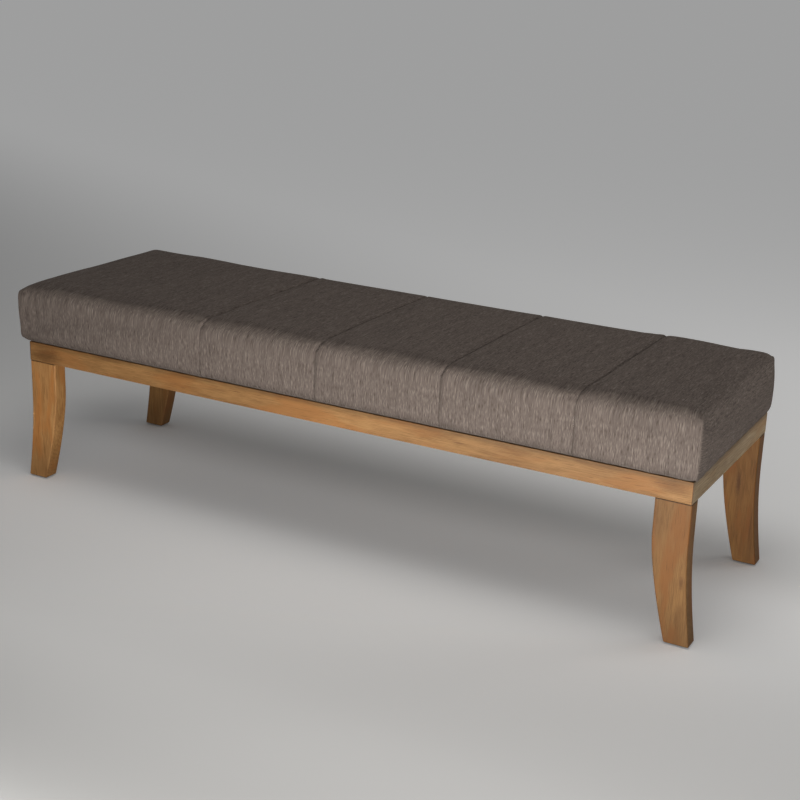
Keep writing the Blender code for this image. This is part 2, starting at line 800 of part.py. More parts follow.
def foam_form(grow=0.0):
    inset = COVER_THICKNESS + LAYER_GAP + WADDING_THICKNESS + JOINT_GAP - grow
    return SoftForm(inset, BOARD_TOP + JOINT_GAP, channelled=False)


def make_foam(shop):
    """The foam block, with the pad's crown but no channels."""
    mesh = shaped_mesh("seat_foam", foam_form())
    smooth(shop.add("seat_foam", mesh, "foam"))


def make_wadding(shop, board_size):
    """Polyester wadding over the foam and down past the edge of the board."""
    form = SoftForm(COVER_THICKNESS + LAYER_GAP, BOARD_BOTTOM + LAYER_GAP)
    wadding = shop.add("seat_wadding", shaped_mesh("seat_wadding", form), "wadding")
    hollow = shaped_mesh("hollow_foam", foam_form(JOINT_GAP))
    cut(wadding, shop.add_cutter("hollow_foam", hollow))
    size = [side + 2 * JOINT_GAP for side in board_size]
    size[2] += OVERRUN
    place = (0, 0, BOARD_TOP + JOINT_GAP - size[2] / 2)
    cut(wadding, shop.add_cutter("hollow_board", box_mesh("hollow_board", size), place))
    smooth(wadding)


def is_covered(form, centre):
    """Whether cloth lies at a place on the pad: all over it, but only as a hem below."""
    in_end_hem = abs(centre.x) > form.half.x - HEM_WIDTH
    in_side_hem = abs(centre.y) > form.half.y - form.front
    return in_end_hem or in_side_hem or centre.z > form.bottom + JOINT_GAP


def make_cover(shop):
    """Five sewn panels; each runs from hem to hem, and the outer two close the ends."""
    form = SoftForm(0, COVER_BOTTOM)
    seams = [-FRAME_LENGTH, *seam_places(), FRAME_LENGTH]
    for number, (left, right) in enumerate(zip(seams, seams[1:]), start=1):
        ends = (left + JOINT_GAP / 2, right - JOINT_GAP / 2)
        name = f"cover_panel_{number}"
        mesh = shaped_mesh(
            name, form, lambda at: ends[0] < at.x < ends[1] and is_covered(form, at), ends
        )
        panel = shop.add(name, mesh, "taupe_weave")
        solidify = panel.modifiers.new("cloth", "SOLIDIFY")
        solidify.thickness = COVER_THICKNESS
        solidify.offset = -1
        solidify.use_even_offset = True
        smooth(panel)


def make_dust_cloth(shop, cutters):
    inset = DUST_CLOTH_INSET + HEM_ROUND
    size = (
        FRAME_LENGTH + 2 * (SEAT_OVERHANG - inset),
        FRAME_DEPTH + 2 * (SEAT_OVERHANG - inset),
        DUST_CLOTH_THICKNESS,
    )
    place = (0, 0, CLOTH_BOTTOM + DUST_CLOTH_THICKNESS / 2)
    cloth = shop.add("dust_cloth", box_mesh("dust_cloth", size), "black_cloth", place)
    for _, hole in cutters.screws:
        cut(cloth, hole)


def main():
    shop = Workshop()
    cutters = JointCutters(shop)
    make_rails(shop, cutters)
    make_splines(shop)
    make_legs(shop, cutters)
    make_leg_dowels(shop)
    make_corner_blocks(shop, cutters)
    make_leg_bolts(shop)
    make_glides(shop)
    make_cross_rails(shop, cutters)
    make_seat_screws(shop)
    board_size = make_seat_board(shop, cutters)
    make_foam(shop)
    make_wadding(shop, board_size)
    make_cover(shop)
    make_dust_cloth(shop, cutters)


main()
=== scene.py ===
"""The looks of an upholstered bench: a channelled cloth pad on a mitred oak frame.

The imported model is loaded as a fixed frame, in metres, with +X to the right along the
bench, -Y its front and +Z up. Cloth and wooden pieces that need a finer surface are
modelled round it and replace its nodes, and the other nodes are only given a finish.
"""

from __future__ import annotations

import sys

import logging
import math
from collections.abc import Callable, Iterator, Sequence
from contextlib import contextmanager
from dataclasses import dataclass, field, replace
from enum import Enum

import bpy
import numpy as np
from bpy.types import Material, Mesh, Object, World
from mathutils import Matrix, Vector
from mathutils.geometry import interpolate_bezier


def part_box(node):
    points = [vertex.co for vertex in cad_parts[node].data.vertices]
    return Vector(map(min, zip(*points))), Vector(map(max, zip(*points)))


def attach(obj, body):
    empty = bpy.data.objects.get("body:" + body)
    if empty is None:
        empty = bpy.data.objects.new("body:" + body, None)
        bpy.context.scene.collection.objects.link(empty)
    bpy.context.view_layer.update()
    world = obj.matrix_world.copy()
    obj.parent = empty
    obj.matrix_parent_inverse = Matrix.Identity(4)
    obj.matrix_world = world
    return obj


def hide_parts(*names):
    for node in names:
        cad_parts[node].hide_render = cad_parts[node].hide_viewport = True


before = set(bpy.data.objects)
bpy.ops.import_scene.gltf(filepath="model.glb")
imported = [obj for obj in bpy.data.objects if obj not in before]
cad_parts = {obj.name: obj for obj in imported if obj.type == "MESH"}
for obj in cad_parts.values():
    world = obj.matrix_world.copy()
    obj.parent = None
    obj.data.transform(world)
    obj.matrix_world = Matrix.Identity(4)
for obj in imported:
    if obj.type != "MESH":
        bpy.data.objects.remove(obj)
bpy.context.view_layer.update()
LOG = logging.getLogger("bench")
BODY = "root"


class Corner(Enum):
    """The four corners of the bench, each with its side along X and along Y."""

    FRONT_LEFT = (-1, -1)
    FRONT_RIGHT = (1, -1)
    BACK_LEFT = (-1, 1)
    BACK_RIGHT = (1, 1)

    @property
    def tag(self) -> str:
        """The corner's name as the nodes spell it."""
        return self.name.lower()


class Run(Enum):
    """The axis that a piece of timber's grain runs along."""

    ALONG_X = 0
    ALONG_Y = 1
    ALONG_Z = 2


@dataclass(frozen=True)
class Socket:
    """An output in a material's node tree, on which arithmetic adds Math nodes."""

    graph: Graph
    link: bpy.types.NodeSocket

    def math(self, operation: str, *others: Socket | float) -> Socket:
        """Adds a Math node on this socket and the others.

        Args:
            operation: The node's operation, in Blender's own spelling.
            others: The second and third operands.

        Returns:
            The node's result.
        """
        return self.graph.node("ShaderNodeMath", {"operation": operation}, [self, *others])

    def vector(self, operation: str, *others: Socket | Sequence[float]) -> Socket:
        """Adds a Vector Math node on this socket and the others.

        Args:
            operation: The node's operation, in Blender's own spelling.
            others: The other operands.

        Returns:
            The node's vector result, or its value for LENGTH.
        """
        output = "Value" if operation == "LENGTH" else "Vector"
        return self.graph.node("ShaderNodeVectorMath", {"operation": operation}, [self, *others], output)

    def __add__(self, other: Socket | float) -> Socket:
        """This plus other."""
        return self.math("ADD", other)

    def __sub__(self, other: Socket | float) -> Socket:
        """This minus other."""
        return self.math("SUBTRACT", other)

    def __mul__(self, other: Socket | float) -> Socket:
        """This times other."""
        return self.math("MULTIPLY", other)

    def __pow__(self, other: Socket | float) -> Socket:
        """This to the power of other."""
        return self.math("POWER", other)

    def __rsub__(self, other: float) -> Socket:
        """A number minus this."""
        return self.math("MULTIPLY_ADD", -1.0, other)

    __radd__ = __add__
    __rmul__ = __mul__

    def step(self, low: float, high: float, to_low: float = 0.0, to_high: float = 1.0) -> Socket:
        """Maps low to high smoothly onto to_low to to_high, and holds it beyond them.

        Args:
            low: The input where the rise starts.
            high: The input where it ends.
            to_low: The result at and before low.
            to_high: The result at and past high.

        Returns:
            The mapped value.
        """
        settings = {"interpolation_type": "SMOOTHSTEP"}
        inputs = {"Value": self, "From Min": low, "From Max": high, "To Min": to_low, "To Max": to_high}
        return self.graph.node("ShaderNodeMapRange", settings, inputs, "Result")


Colour = tuple[float, float, float]
Point = tuple[float, float, float]
Input = Socket | float | Sequence[float]


def ramp(places: np.ndarray, start: float, reach: float) -> np.ndarray:
    """Goes from 0 at start to 1 a reach further on, and is held beyond."""
    return np.clip((places - start) / reach, 0, 1)


def hump(places: np.ndarray, middle: float, reach: float) -> np.ndarray:
    """Is 1 at the middle and falls off smoothly over a reach to each side."""
    return np.exp(-(((places - middle) / reach) ** 2))


def times(colour: Colour, factor: float) -> Colour:
    """A colour made lighter or darker by a factor."""
    return tuple(channel * factor for channel in colour)


class Graph:
    """The node tree of a new material or world, with its first shader in place."""

    def __init__(self, name: str, world: bool = False) -> None:
        """Makes the material or the world.

        Args:
            name: Its name.
            world: Whether it is a world.
        """
        self.owner = (bpy.data.worlds if world else bpy.data.materials).new(name)
        self.owner.use_nodes = True
        self.tree = self.owner.node_tree
        self.shader = self.tree.nodes["Background" if world else "Principled BSDF"]
        self.surface = self.tree.nodes["World Output" if world else "Material Output"].inputs["Surface"]

    def node(
        self,
        kind: str,
        settings: dict[str, object] | None = None,
        inputs: dict[str, Input] | Sequence[Input] = (),
        output: str | int = 0,
    ) -> Socket:
        """Adds any node.

        Args:
            kind: The node's type name.
            settings: Values for its properties.
            inputs: Values or links of its sockets, by name or in order.
            output: The name or number of the output to hand back.

        Returns:
            That output.
        """
        made = self.tree.nodes.new(kind)
        for key, value in (settings or {}).items():
            setattr(made, key, value)
        pairs = inputs.items() if isinstance(inputs, dict) else enumerate(inputs)
        for key, value in pairs:
            self.feed(made.inputs[key], value)
        return Socket(self, made.outputs[output])

    def feed(self, socket: bpy.types.NodeSocket, value: Input) -> None:
        """Links or sets one input.

        Args:
            socket: The input.
            value: A socket to link, or a number, vector or colour to set.
        """
        if isinstance(value, Socket):
            self.tree.links.new(value.link, socket)
        elif socket.type == "RGBA" and not isinstance(value, (int, float)):
            socket.default_value = (*value, 1.0)
        else:
            socket.default_value = value

    def place(self) -> Socket:
        """Where a point of the surface lies, in metres."""
        return self.node("ShaderNodeTexCoord", output="Object")

    def cloth_place(self) -> Socket:
        """Where a point lies on the flat cloth, in metres across and along the threads."""
        return self.node("ShaderNodeUVMap", {"uv_map": "cloth"}, output="UV")

    def part(self, place: Socket, axis: str | int) -> Socket:
        """One coordinate of a place."""
        return self.node("ShaderNodeSeparateXYZ", None, [place], axis)

    def noise(
        self,
        place: Socket,
        scale: Sequence[float],
        offset: Sequence[float] = (0, 0, 0),
        detail: float = 2.0,
        rough: float = 0.5,
    ) -> Socket:
        """Soft noise from 0 to 1, around a half.

        Args:
            place: Where the noise is looked up.
            scale: How many of its swells go to a metre, along each axis.
            offset: Moves the pattern, in swells.
            detail: How many finer layers it has.
            rough: How strong these are.

        Returns:
            The noise.
        """
        spot = place.vector("MULTIPLY", scale).vector("ADD", offset)
        inputs = {"Vector": spot, "Scale": 1.0, "Detail": detail, "Roughness": rough}
        return self.node("ShaderNodeTexNoise", None, inputs, "Fac")

    def mix(self, share: Socket | float, first: Input, second: Input, blend: str = "MIX") -> Socket:
        """Mixes two colours.

        Args:
            share: How much of second shows.
            first: The colour at share 0.
            second: The colour at share 1.
            blend: The blend mode.

        Returns:
            The mixed colour.
        """
        settings = {"data_type": "RGBA", "blend_type": blend}
        return self.node("ShaderNodeMix", settings, {0: share, 6: first, 7: second}, 2)

    def shaded(self, colour: Input, share: Socket, tone: Colour = (1.0, 1.0, 1.0)) -> Socket:
        """A colour multiplied by a share, and by a tone for each channel."""
        level = self.node("ShaderNodeCombineColor", None, [share * channel for channel in tone])
        return self.mix(1.0, colour, level, "MULTIPLY")

    def bump(self, height: Socket, distance: float, strength: float = 1.0) -> Socket:
        """A normal from a height that goes from 0 to 1 over distance metres."""
        inputs = {"Height": height, "Distance": distance, "Strength": strength}
        return self.node("ShaderNodeBump", None, inputs, "Normal")

    def finish(self, **inputs: Input) -> Material | World:
        """Feeds the first shader and hands the material or world back.

        Args:
            inputs: The shader's sockets, with an underscore for a space.

        Returns:
            The finished material or world.
        """
        for key, value in inputs.items():
            self.feed(self.shader.inputs[key.replace("_", " ")], value)
        return self.owner

    def show(self, share: Socket, other: Socket) -> None:
        """Shows another shader in place of the first one.

        Args:
            share: How much of the other one shows.
            other: The other shader.
        """
        inputs = [share, Socket(self, self.shader.outputs[0]), other]
        self.feed(self.surface, self.node("ShaderNodeMixShader", None, inputs, "Shader"))


@dataclass(frozen=True)
class Knot:
    """A knot or a dark streak in a piece of timber.

    Its reach is its half length along the grain, and slimness how many times longer it is than wide.
    """

    centre: Point
    reach: float
    slimness: float = 2.6
    dark: float = 0.8


@dataclass(frozen=True)
class Timber:
    """Oiled or bare wood, with growth rings, pores, figure and knots.

    The joints are the planes across which it meets another piece in a dark line. Its tone scales
    each channel of its colour, and on the legs and the end rail is painted light and shade, to how
    brightly each is lit. The share it keeps at the floor is painted shade, how light it is there beside
    further up, and shaded_top is the height of its top edge where a piece above shades that, as
    painted shade.
    """

    name: str
    run: Run
    pale: Colour
    deep: Colour
    pith: tuple[float, float] = (0.09, -0.05)
    ring: float = 0.0024
    ring_share: float = 0.07
    pore_depth: float = 0.00008
    roughness: float = 0.5
    coat: float = 0.0
    seed: float = 0.0
    # On the legs and the end rail, painted light and shade.
    tone: Colour = (1.0, 1.0, 1.0)
    tone_drift: float = 0.22
    # Painted shade: how light the wood stays at the floor, and over which heights it darkens.
    painted_foot_shade: float = 1.0
    painted_foot_shade_reach: tuple[float, float] = (0.01, 0.13)
    warm: Colour = (0.40, 0.170, 0.055)
    warm_share: float = 0.0
    knots: tuple[Knot, ...] = ()
    joints: tuple[tuple[Run, float], ...] = ()
    joint_width: float = 0.0016
    shaded_top: float = 0.0
    shade_reach: tuple[float, float] = (0.013, 0.002)
    shade_tone: float = 0.64

    def make(self) -> Material:
        """The wood as a material.

        Returns:
            The material.
        """
        graph = Graph(self.name)
        turn = {Run.ALONG_X: (0, 0, 0), Run.ALONG_Y: (0, 0, -90), Run.ALONG_Z: (0, 90, 0)}[self.run]
        place = graph.place()
        inputs = {"Vector": place, "Rotation": [math.radians(angle) for angle in turn]}
        along = graph.node("ShaderNodeMapping", {"vector_type": "POINT"}, inputs, "Vector")
        shift = (self.seed * 1.7, self.seed * 0.31, self.seed * 0.23)
        fibre = graph.noise(along, (26.0, 900.0, 900.0), shift, 3.0, 0.65)
        pores = graph.noise(along, (30.0, 700.0, 700.0), shift, 1.0).step(0.60, 0.72)
        cloud = graph.noise(along, (11.0, 62.0, 62.0), shift, 4.0, 0.62)
        warmth = graph.noise(along, (9.0, 38.0, 38.0), (9.0, self.seed, 2.0), 3.0)
        drift = graph.noise(along, (1.6, 6.0, 6.0), shift, 1.0)
        knot = self.knot_share(graph, place)
        rings = self.growth(graph, along, shift, knot)
        late = rings * self.ring_share + fibre * (0.52 - self.ring_share) + cloud * 0.48
        colour = graph.mix(late.step(0.32, 0.70), self.pale, self.deep)
        colour = graph.mix(warmth.step(0.46, 0.64) * self.warm_share, colour, self.warm)
        shade = drift.step(0.25, 0.75, 1.0 - self.tone_drift, 1.0 + self.tone_drift * 0.3)
        height_up = graph.part(place, "Z")
        # Painted shade: darker towards the floor.
        if self.painted_foot_shade < 1.0:
            shade = shade * height_up.step(*self.painted_foot_shade_reach, self.painted_foot_shade, 1.0)
        if self.shaded_top:
            start, end = (self.shaded_top - reach for reach in self.shade_reach)
            shade = shade * height_up.step(start, end, 1.0, self.shade_tone)
        # The tone scales each channel; on the legs and the end rail it is painted light and shade.
        colour = graph.shaded(colour, shade, self.tone)
        colour = graph.mix(pores * 0.5, colour, times(self.deep, 0.45))
        knot_tone = [channel * share for channel, share in zip(self.deep, (0.34, 0.27, 0.22))]
        colour = graph.mix(knot, colour, knot_tone)
        colour = graph.mix(self.joint_share(graph, place) * 0.8, colour, times(self.deep, 0.18))
        return graph.finish(
            Base_Color=colour,
            Roughness=fibre.step(0.3, 0.7, self.roughness - 0.06, self.roughness + 0.08),
            Normal=graph.bump(1.0 - pores * 0.8 - fibre * 0.2, self.pore_depth),
            Coat_Weight=self.coat,
            Coat_Roughness=0.35,
            Specular_IOR_Level=0.2,
        )

    def growth(self, graph: Graph, along: Socket, shift: Point, knot: Socket | float) -> Socket:
        """The growth rings round the tree's heart, which bend round a knot.

        Args:
            graph: The material's tree.
            along: The place, turned so that the grain runs along X.
            shift: Moves the rings' wander for this piece.
            knot: How much of a knot shows.

        Returns:
            Late wood as 1 and early wood as 0.
        """
        wander = graph.noise(along, (3.0, 14.0, 14.0), shift, 3.0)
        across = graph.part(along, "Y") + (self.pith[0] + wander * 0.034)
        depth = graph.part(along, "Z") + (self.pith[1] + wander * 0.026)
        radius = (across * across + depth * depth) ** 0.5 + knot * (self.ring * 1.6)
        return (radius * (math.tau / self.ring)).math("SINE") * 0.5 + 0.5

    def joint_share(self, graph: Graph, place: Socket) -> Socket | float:
        """How much of a dark joint line shows at a place, from 0 to 1.

        Args:
            graph: The material's tree.
            place: The place on the surface.

        Returns:
            The share, or 0 where the timber has no joint lines.
        """
        total: Socket | float = 0.0
        ragged = graph.noise(place, (310.0, 310.0, 310.0)) if self.joints else 0.0
        for run, level in self.joints:
            away = (graph.part(place, run.value) - level).math("ABSOLUTE")
            away = away - ragged * (self.joint_width * 0.5)
            total = away.step(self.joint_width, self.joint_width * 0.25) + total
        return total

    def knot_share(self, graph: Graph, place: Socket) -> Socket | float:
        """How much of a knot shows at a place, from 0 to 1.

        Args:
            graph: The material's tree.
            place: The place on the surface.

        Returns:
            The share, or 0 where the timber has no knots.
        """
        total: Socket | float = 0.0
        for knot in self.knots:
            squeeze = [knot.slimness] * 3
            squeeze[self.run.value] = 1.0
            away = place.vector("SUBTRACT", knot.centre).vector("MULTIPLY", squeeze).vector("LENGTH")
            away = away + graph.noise(place, (220.0, 220.0, 220.0)) * (knot.reach * 0.5)
            shown = away.step(knot.reach * 1.25, knot.reach * 0.35, 0.0, knot.dark)
            total = shown.math("MAXIMUM", total)
        return total


OAK = Timber(
    "oak",
    Run.ALONG_X,
    (0.378, 0.203, 0.074),
    (0.196, 0.089, 0.026),
    coat=0.06,
    roughness=0.55,
    warm=(0.308, 0.128, 0.035),
    warm_share=0.6,
)
PINE = Timber("pine_rail", Run.ALONG_Y, (0.66, 0.47, 0.26), (0.50, 0.30, 0.13), seed=11, ring=0.0035)
BEECH = Timber("beech_block", Run.ALONG_X, (0.60, 0.42, 0.26), (0.48, 0.31, 0.18), seed=8)


@dataclass(frozen=True)
class StreakedCloth:
    """A slubbed upholstery weave whose warp threads differ in tone, shaded at its seams and its hem."""

    name: str
    ground: Colour
    light: Colour
    dark: Colour
    thread: float = 0.0011
    streak: float = 0.0019
    streak_length: float = 0.032
    seams: tuple[float, ...] = ()
    seam_width: float = 0.0024
    seam_shade: float = 0.38
    hem: float = 0.0
    hem_reach: float = 0.026
    hem_shade: float = 0.30

    def make(self) -> Material:
        """The cloth as a material.

        Returns:
            The material.
        """
        graph = Graph(self.name)
        place = graph.cloth_place()
        across, along = 1 / self.streak, 1 / self.streak_length
        fine = graph.noise(place, (across, along, 1.0), rough=0.6)
        short = graph.noise(place, (1.25 * across, 3.2 * along, 1.0), (31.0, 7.0, 0.0), 1.0)
        broad = graph.noise(place, (0.16 * across, 0.22 * along, 1.0), (5.0, 3.0, 0.0))
        slub = fine * 0.55 + short * 0.45
        colour = graph.mix(slub.step(0.50, 0.66), self.ground, self.light)
        colour = graph.mix(slub.step(0.48, 0.34), colour, self.dark)
        # Painted shade: the cloth darkens over the lowest hem_reach above its hem, where it turns under.
        painted_hem_shade = graph.part(graph.place(), "Z").step(self.hem, self.hem + self.hem_reach, 1.0, 0.0) ** 1.5
        colour = graph.shaded(colour, broad.step(0.3, 0.7, 0.90, 1.08) * (1.0 - painted_hem_shade * self.hem_shade))
        # Painted shade: a dark line along each seam, where its groove lies in shade.
        for level in self.seams:
            away = (graph.part(place, "X") - level).math("ABSOLUTE")
            painted_seam_shade = away.step(self.seam_width, self.seam_width * 0.3, 0.0, self.seam_shade)
            colour = graph.mix(painted_seam_shade, colour, times(self.dark, 0.3))
        warp, weft = (self.thread_wave(graph, place, axis) for axis in (0, 1))
        return graph.finish(
            Base_Color=colour,
            Roughness=slub.step(0.4, 0.6, 0.97, 0.86),
            Normal=graph.bump(warp * weft + slub, self.thread * 0.35, 0.8),
            Sheen_Weight=0.12,
            Sheen_Roughness=0.55,
            Sheen_Tint=self.light,
            Specular_IOR_Level=0.15,
        )

    def thread_wave(self, graph: Graph, place: Socket, axis: int) -> Socket:
        """The height of the threads that lie side by side along one axis of the cloth.

        Args:
            graph: The material's tree.
            place: The place on the cloth.
            axis: 0 for the warp, which lies side by side across, or 1 for the weft.

        Returns:
            The height, from 0 to 1.
        """
        return (graph.part(place, axis) * (math.tau / self.thread)).math("SINE") * 0.5 + 0.5


@dataclass(frozen=True)
class Plain:
    """A finish of one colour, broken up by fine noise."""

    name: str
    colour: Colour
    grain: float
    depth: float
    roughness: float
    metallic: float = 0.0
    spread: float = 0.18

    def make(self) -> Material:
        """The finish as a material.

        Returns:
            The material.
        """
        graph = Graph(self.name)
        place = graph.place()
        speckle = graph.noise(place, [1 / self.grain] * 3, detail=3.0, rough=0.6)
        cloud = graph.noise(place, [0.09 / self.grain] * 3)
        low = times(self.colour, 1 - self.spread)
        high = [min(1.0, channel) for channel in times(self.colour, 1 + self.spread)]
        colour = graph.mix((speckle * 0.6 + cloud * 0.4).step(0.35, 0.65), low, high)
        rough = cloud.step(0.3, 0.7, self.roughness - 0.07, self.roughness + 0.07)
        return graph.finish(
            Base_Color=colour,
            Roughness=rough,
            Metallic=self.metallic,
            Normal=graph.bump(speckle, self.depth, 0.7),
        )


@dataclass(frozen=True)
class Plywood:
    """Birch plywood: veneers that show as bands on its edges."""

    name: str = "birch_plywood"
    veneer: float = 0.0014
    pale: Colour = (0.60, 0.44, 0.27)
    deep: Colour = (0.40, 0.26, 0.14)

    def make(self) -> Material:
        """The board as a material.

        Returns:
            The material.
        """
        graph = Graph(self.name)
        place = graph.place()
        bands = (graph.part(place, "Z") * (math.tau / (2 * self.veneer))).math("SINE").step(-0.3, 0.3)
        fibre = graph.noise(place, (60.0, 900.0, 900.0), detail=3.0)
        colour = graph.mix((bands * 0.6 + fibre * 0.5).step(0.2, 0.9), self.pale, self.deep)
        return graph.finish(Base_Color=colour, Roughness=0.62, Normal=graph.bump(fibre, 0.0001))


EdgeTest = Callable[[np.ndarray, np.ndarray, np.ndarray], np.ndarray]


class Tools:
    """The modelling steps that the pieces share, done with Blender's own operators."""

    weld: float = 1e-6

    @staticmethod
    def add(
        primitive: Callable[..., object], name: str, scale: Sequence[float], **settings: object
    ) -> Object:
        """Adds a primitive of side 1 at its size and place, with both in its mesh.

        Args:
            primitive: The operator that adds it.
            name: The object's name.
            scale: Its size along each axis.
            settings: The operator's other settings.

        Returns:
            The new object.
        """
        bpy.ops.object.select_all(action="DESELECT")
        primitive(size=1.0, **settings)
        piece = bpy.context.object
        piece.scale = scale
        piece.name = piece.data.name = name
        bpy.ops.object.transform_apply(location=True, rotation=True, scale=True)
        return piece

    @classmethod
    def box(cls, name: str, low: Vector, high: Vector) -> Object:
        """Adds a cube that reaches from its lowest corner to its highest."""
        return cls.add(bpy.ops.mesh.primitive_cube_add, name, high - low, location=(low + high) / 2)

    @staticmethod
    def take(piece: Object) -> None:
        """Makes a piece the active object, and the only one that is selected.

        Args:
            piece: The piece.
        """
        bpy.ops.object.select_all(action="DESELECT")
        bpy.context.view_layer.objects.active = piece
        piece.select_set(True)

    @staticmethod
    @contextmanager
    def editing(piece: Object, kind: str = "EDGE") -> Iterator[None]:
        """Opens a piece in edit mode with what its mesh has marked as selected.

        Args:
            piece: The piece.
            kind: VERT, EDGE or FACE.

        Yields:
            Nothing.
        """
        Tools.take(piece)
        modes = tuple(kind == name for name in ("VERT", "EDGE", "FACE"))
        bpy.context.tool_settings.mesh_select_mode = modes
        bpy.ops.object.mode_set(mode="EDIT")
        yield
        bpy.ops.object.mode_set(mode="OBJECT")

    @staticmethod
    def clear_selection(piece: Object) -> None:
        """Marks every corner, edge and face of a piece as not selected."""
        for items in (piece.data.vertices, piece.data.edges, piece.data.polygons):
            items.foreach_set("select", [False] * len(items))

    @staticmethod
    def read(items: bpy.types.bpy_prop_collection, name: str, width: int, kind: type) -> np.ndarray:
        """Reads one property of every item into an array.

        Args:
            items: A mesh's vertices, edges, corners or faces.
            name: The property.
            width: How many numbers it holds.
            kind: Their type.

        Returns:
            The numbers, a row to an item.
        """
        flat = np.empty(len(items) * width, kind)
        items.foreach_get(name, flat)
        return flat.reshape(-1, width)

    @classmethod
    def points(cls, mesh: Mesh) -> np.ndarray:
        """The places of a mesh's corners, a row to a corner."""
        return cls.read(mesh.vertices, "co", 3, np.float32).astype(float)

    @classmethod
    def normals(cls, mesh: Mesh) -> np.ndarray:
        """The normals at a mesh's corners, a row to a corner."""
        return cls.read(mesh.vertices, "normal", 3, np.float32).astype(float)

    @staticmethod
    def place(mesh: Mesh, points: np.ndarray) -> None:
        """Moves a mesh's corners to the given places."""
        mesh.vertices.foreach_set("co", points.astype(np.float32).ravel())
        mesh.update()

    @staticmethod
    def copy(piece: Object, name: str) -> Object:
        """Copies a piece with its own mesh.

        Args:
            piece: The piece.
            name: The copy's name.

        Returns:
            The copy.
        """
        made = bpy.data.objects.new(name, piece.data.copy())
        made.data.name = name
        bpy.context.scene.collection.objects.link(made)
        return made

    @classmethod
    def pick_edges(cls, piece: Object, test: EdgeTest) -> None:
        """Marks the edges that a test picks.

        Args:
            piece: The piece.
            test: Given every edge's middle, its direction and the angle between its faces.
        """
        mesh = piece.data
        cls.clear_selection(piece)
        ends = cls.read(mesh.edges, "vertices", 2, np.int32)
        points = cls.points(mesh)
        way = points[ends[:, 1]] - points[ends[:, 0]]
        way /= np.maximum(np.linalg.norm(way, axis=1, keepdims=True), 1e-12)
        normals = cls.read(mesh.polygons, "normal", 3, np.float32)
        corners = cls.read(mesh.polygons, "loop_total", 1, np.int32)[:, 0]
        face_of = np.repeat(np.arange(len(normals)), corners)
        edge_of = cls.read(mesh.loops, "edge_index", 1, np.int32)[:, 0]
        order = np.argsort(edge_of, kind="stable")
        edges, first, count = np.unique(edge_of[order], return_index=True, return_counts=True)
        first = first[count == 2]
        turn = (normals[face_of[order[first]]] * normals[face_of[order[first + 1]]]).sum(axis=1)
        bend = np.full(len(ends), math.pi)
        bend[edges[count == 2]] = np.arccos(np.clip(turn, -1, 1))
        mesh.edges.foreach_set("select", test(points[ends].mean(axis=1), way, bend))

    @classmethod
    def bevel(cls, piece: Object, test: EdgeTest, width: float, segments: int) -> None:
        """Rounds the edges that a test picks.

        Args:
            piece: The piece.
            test: Picks the edges, as for pick_edges.
            width: The rounding's width.
            segments: How many steps it takes.
        """
        cls.pick_edges(piece, test)
        with cls.editing(piece):
            bpy.ops.mesh.bevel(offset=width, segments=segments, affect="EDGES", clamp_overlap=True)

    @classmethod
    def slice(cls, piece: Object, point: Point, normal: Point, fill: bool = True) -> None:
        """Cuts a piece with a plane and drops what lies on the side its normal points to.

        Args:
            piece: The piece.
            point: A point on the plane.
            normal: The plane's normal.
            fill: Whether the cut is closed.
        """
        with cls.editing(piece, "FACE"):
            bpy.ops.mesh.select_all(action="SELECT")
            bpy.ops.mesh.bisect(
                plane_co=point, plane_no=normal, use_fill=fill, clear_outer=True, threshold=cls.weld
            )

    @staticmethod
    def apply(piece: Object, kind: str, **settings: object) -> None:
        """Adds a modifier to a piece and applies it.

        Args:
            piece: The piece.
            kind: The modifier's type.
            settings: Its properties.
        """
        modifier = piece.modifiers.new(kind.lower(), kind)
        for key, value in settings.items():
            setattr(modifier, key, value)
        Tools.take(piece)
        bpy.ops.object.modifier_apply(modifier=modifier.name)

    @staticmethod
    def smooth(piece: Object, degrees: float = 35.0) -> None:
        """Shades a piece smooth but for edges sharper than the given angle."""
        Tools.take(piece)
        bpy.ops.object.shade_smooth_by_angle(angle=math.radians(degrees))

    @classmethod
    def finish_wood(cls, piece: Object) -> None:
        """Shades a wooden piece so that its flat faces look flat between their rounded edges."""
        cls.smooth(piece)
        cls.apply(piece, "WEIGHTED_NORMAL", keep_sharp=True)

    @staticmethod
    def dress(piece: Object, material: Material, slot: str, *nodes: str) -> None:
        """Gives a new piece its finish and its body, and hides the nodes that it stands for.

        Args:
            piece: The piece.
            material: Its material.
            slot: Not used.
            nodes: The nodes that it replaces.
        """
        piece.data.materials.clear()
        piece.data.materials.append(material)
        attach(piece, BODY)
        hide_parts(*nodes)
        LOG.info("%s: %d faces", piece.name, len(piece.data.polygons))


@dataclass
class Rail:
    """One mitred rail of the frame."""

    node: str
    run: Run
    seed: float
    # On the end rail this tone is painted light.
    tone: Colour = (1.0, 1.0, 1.0)
    knots: tuple[Knot, ...] = ()
    ease: float = 0.0012

    def build(self) -> None:
        """Models the rail and dresses it."""
        low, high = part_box(self.node)
        piece = Tools.box(f"{self.node}_oak", low, high)
        along = self.run.value
        thick = 1 - along
        side = math.copysign(1, (low + high)[thick])
        outer = (high if side > 0 else low)[thick]
        for end, reach in ((-1, low[along]), (1, high[along])):
            point, normal = [0.0, 0.0, 0.0], [0.0, 0.0, 0.0]
            point[along], point[thick] = reach, outer
            normal[along], normal[thick] = end, -side
            Tools.slice(piece, point, normal)
        Tools.bevel(piece, lambda at, way, bend: (np.abs(way[:, along]) > 0.999) & (bend > 1), self.ease, 3)
        Tools.finish_wood(piece)
        timber = replace(
            OAK,
            name=f"oak_{self.node}",
            run=self.run,
            seed=self.seed,
            tone=self.tone,
            knots=self.knots,
            joints=((self.run, low.x), (self.run, high.x)) if self.run is Run.ALONG_X else (),
            shaded_top=high.z,
        )
        Tools.dress(piece, timber.make(), "oak", self.node)


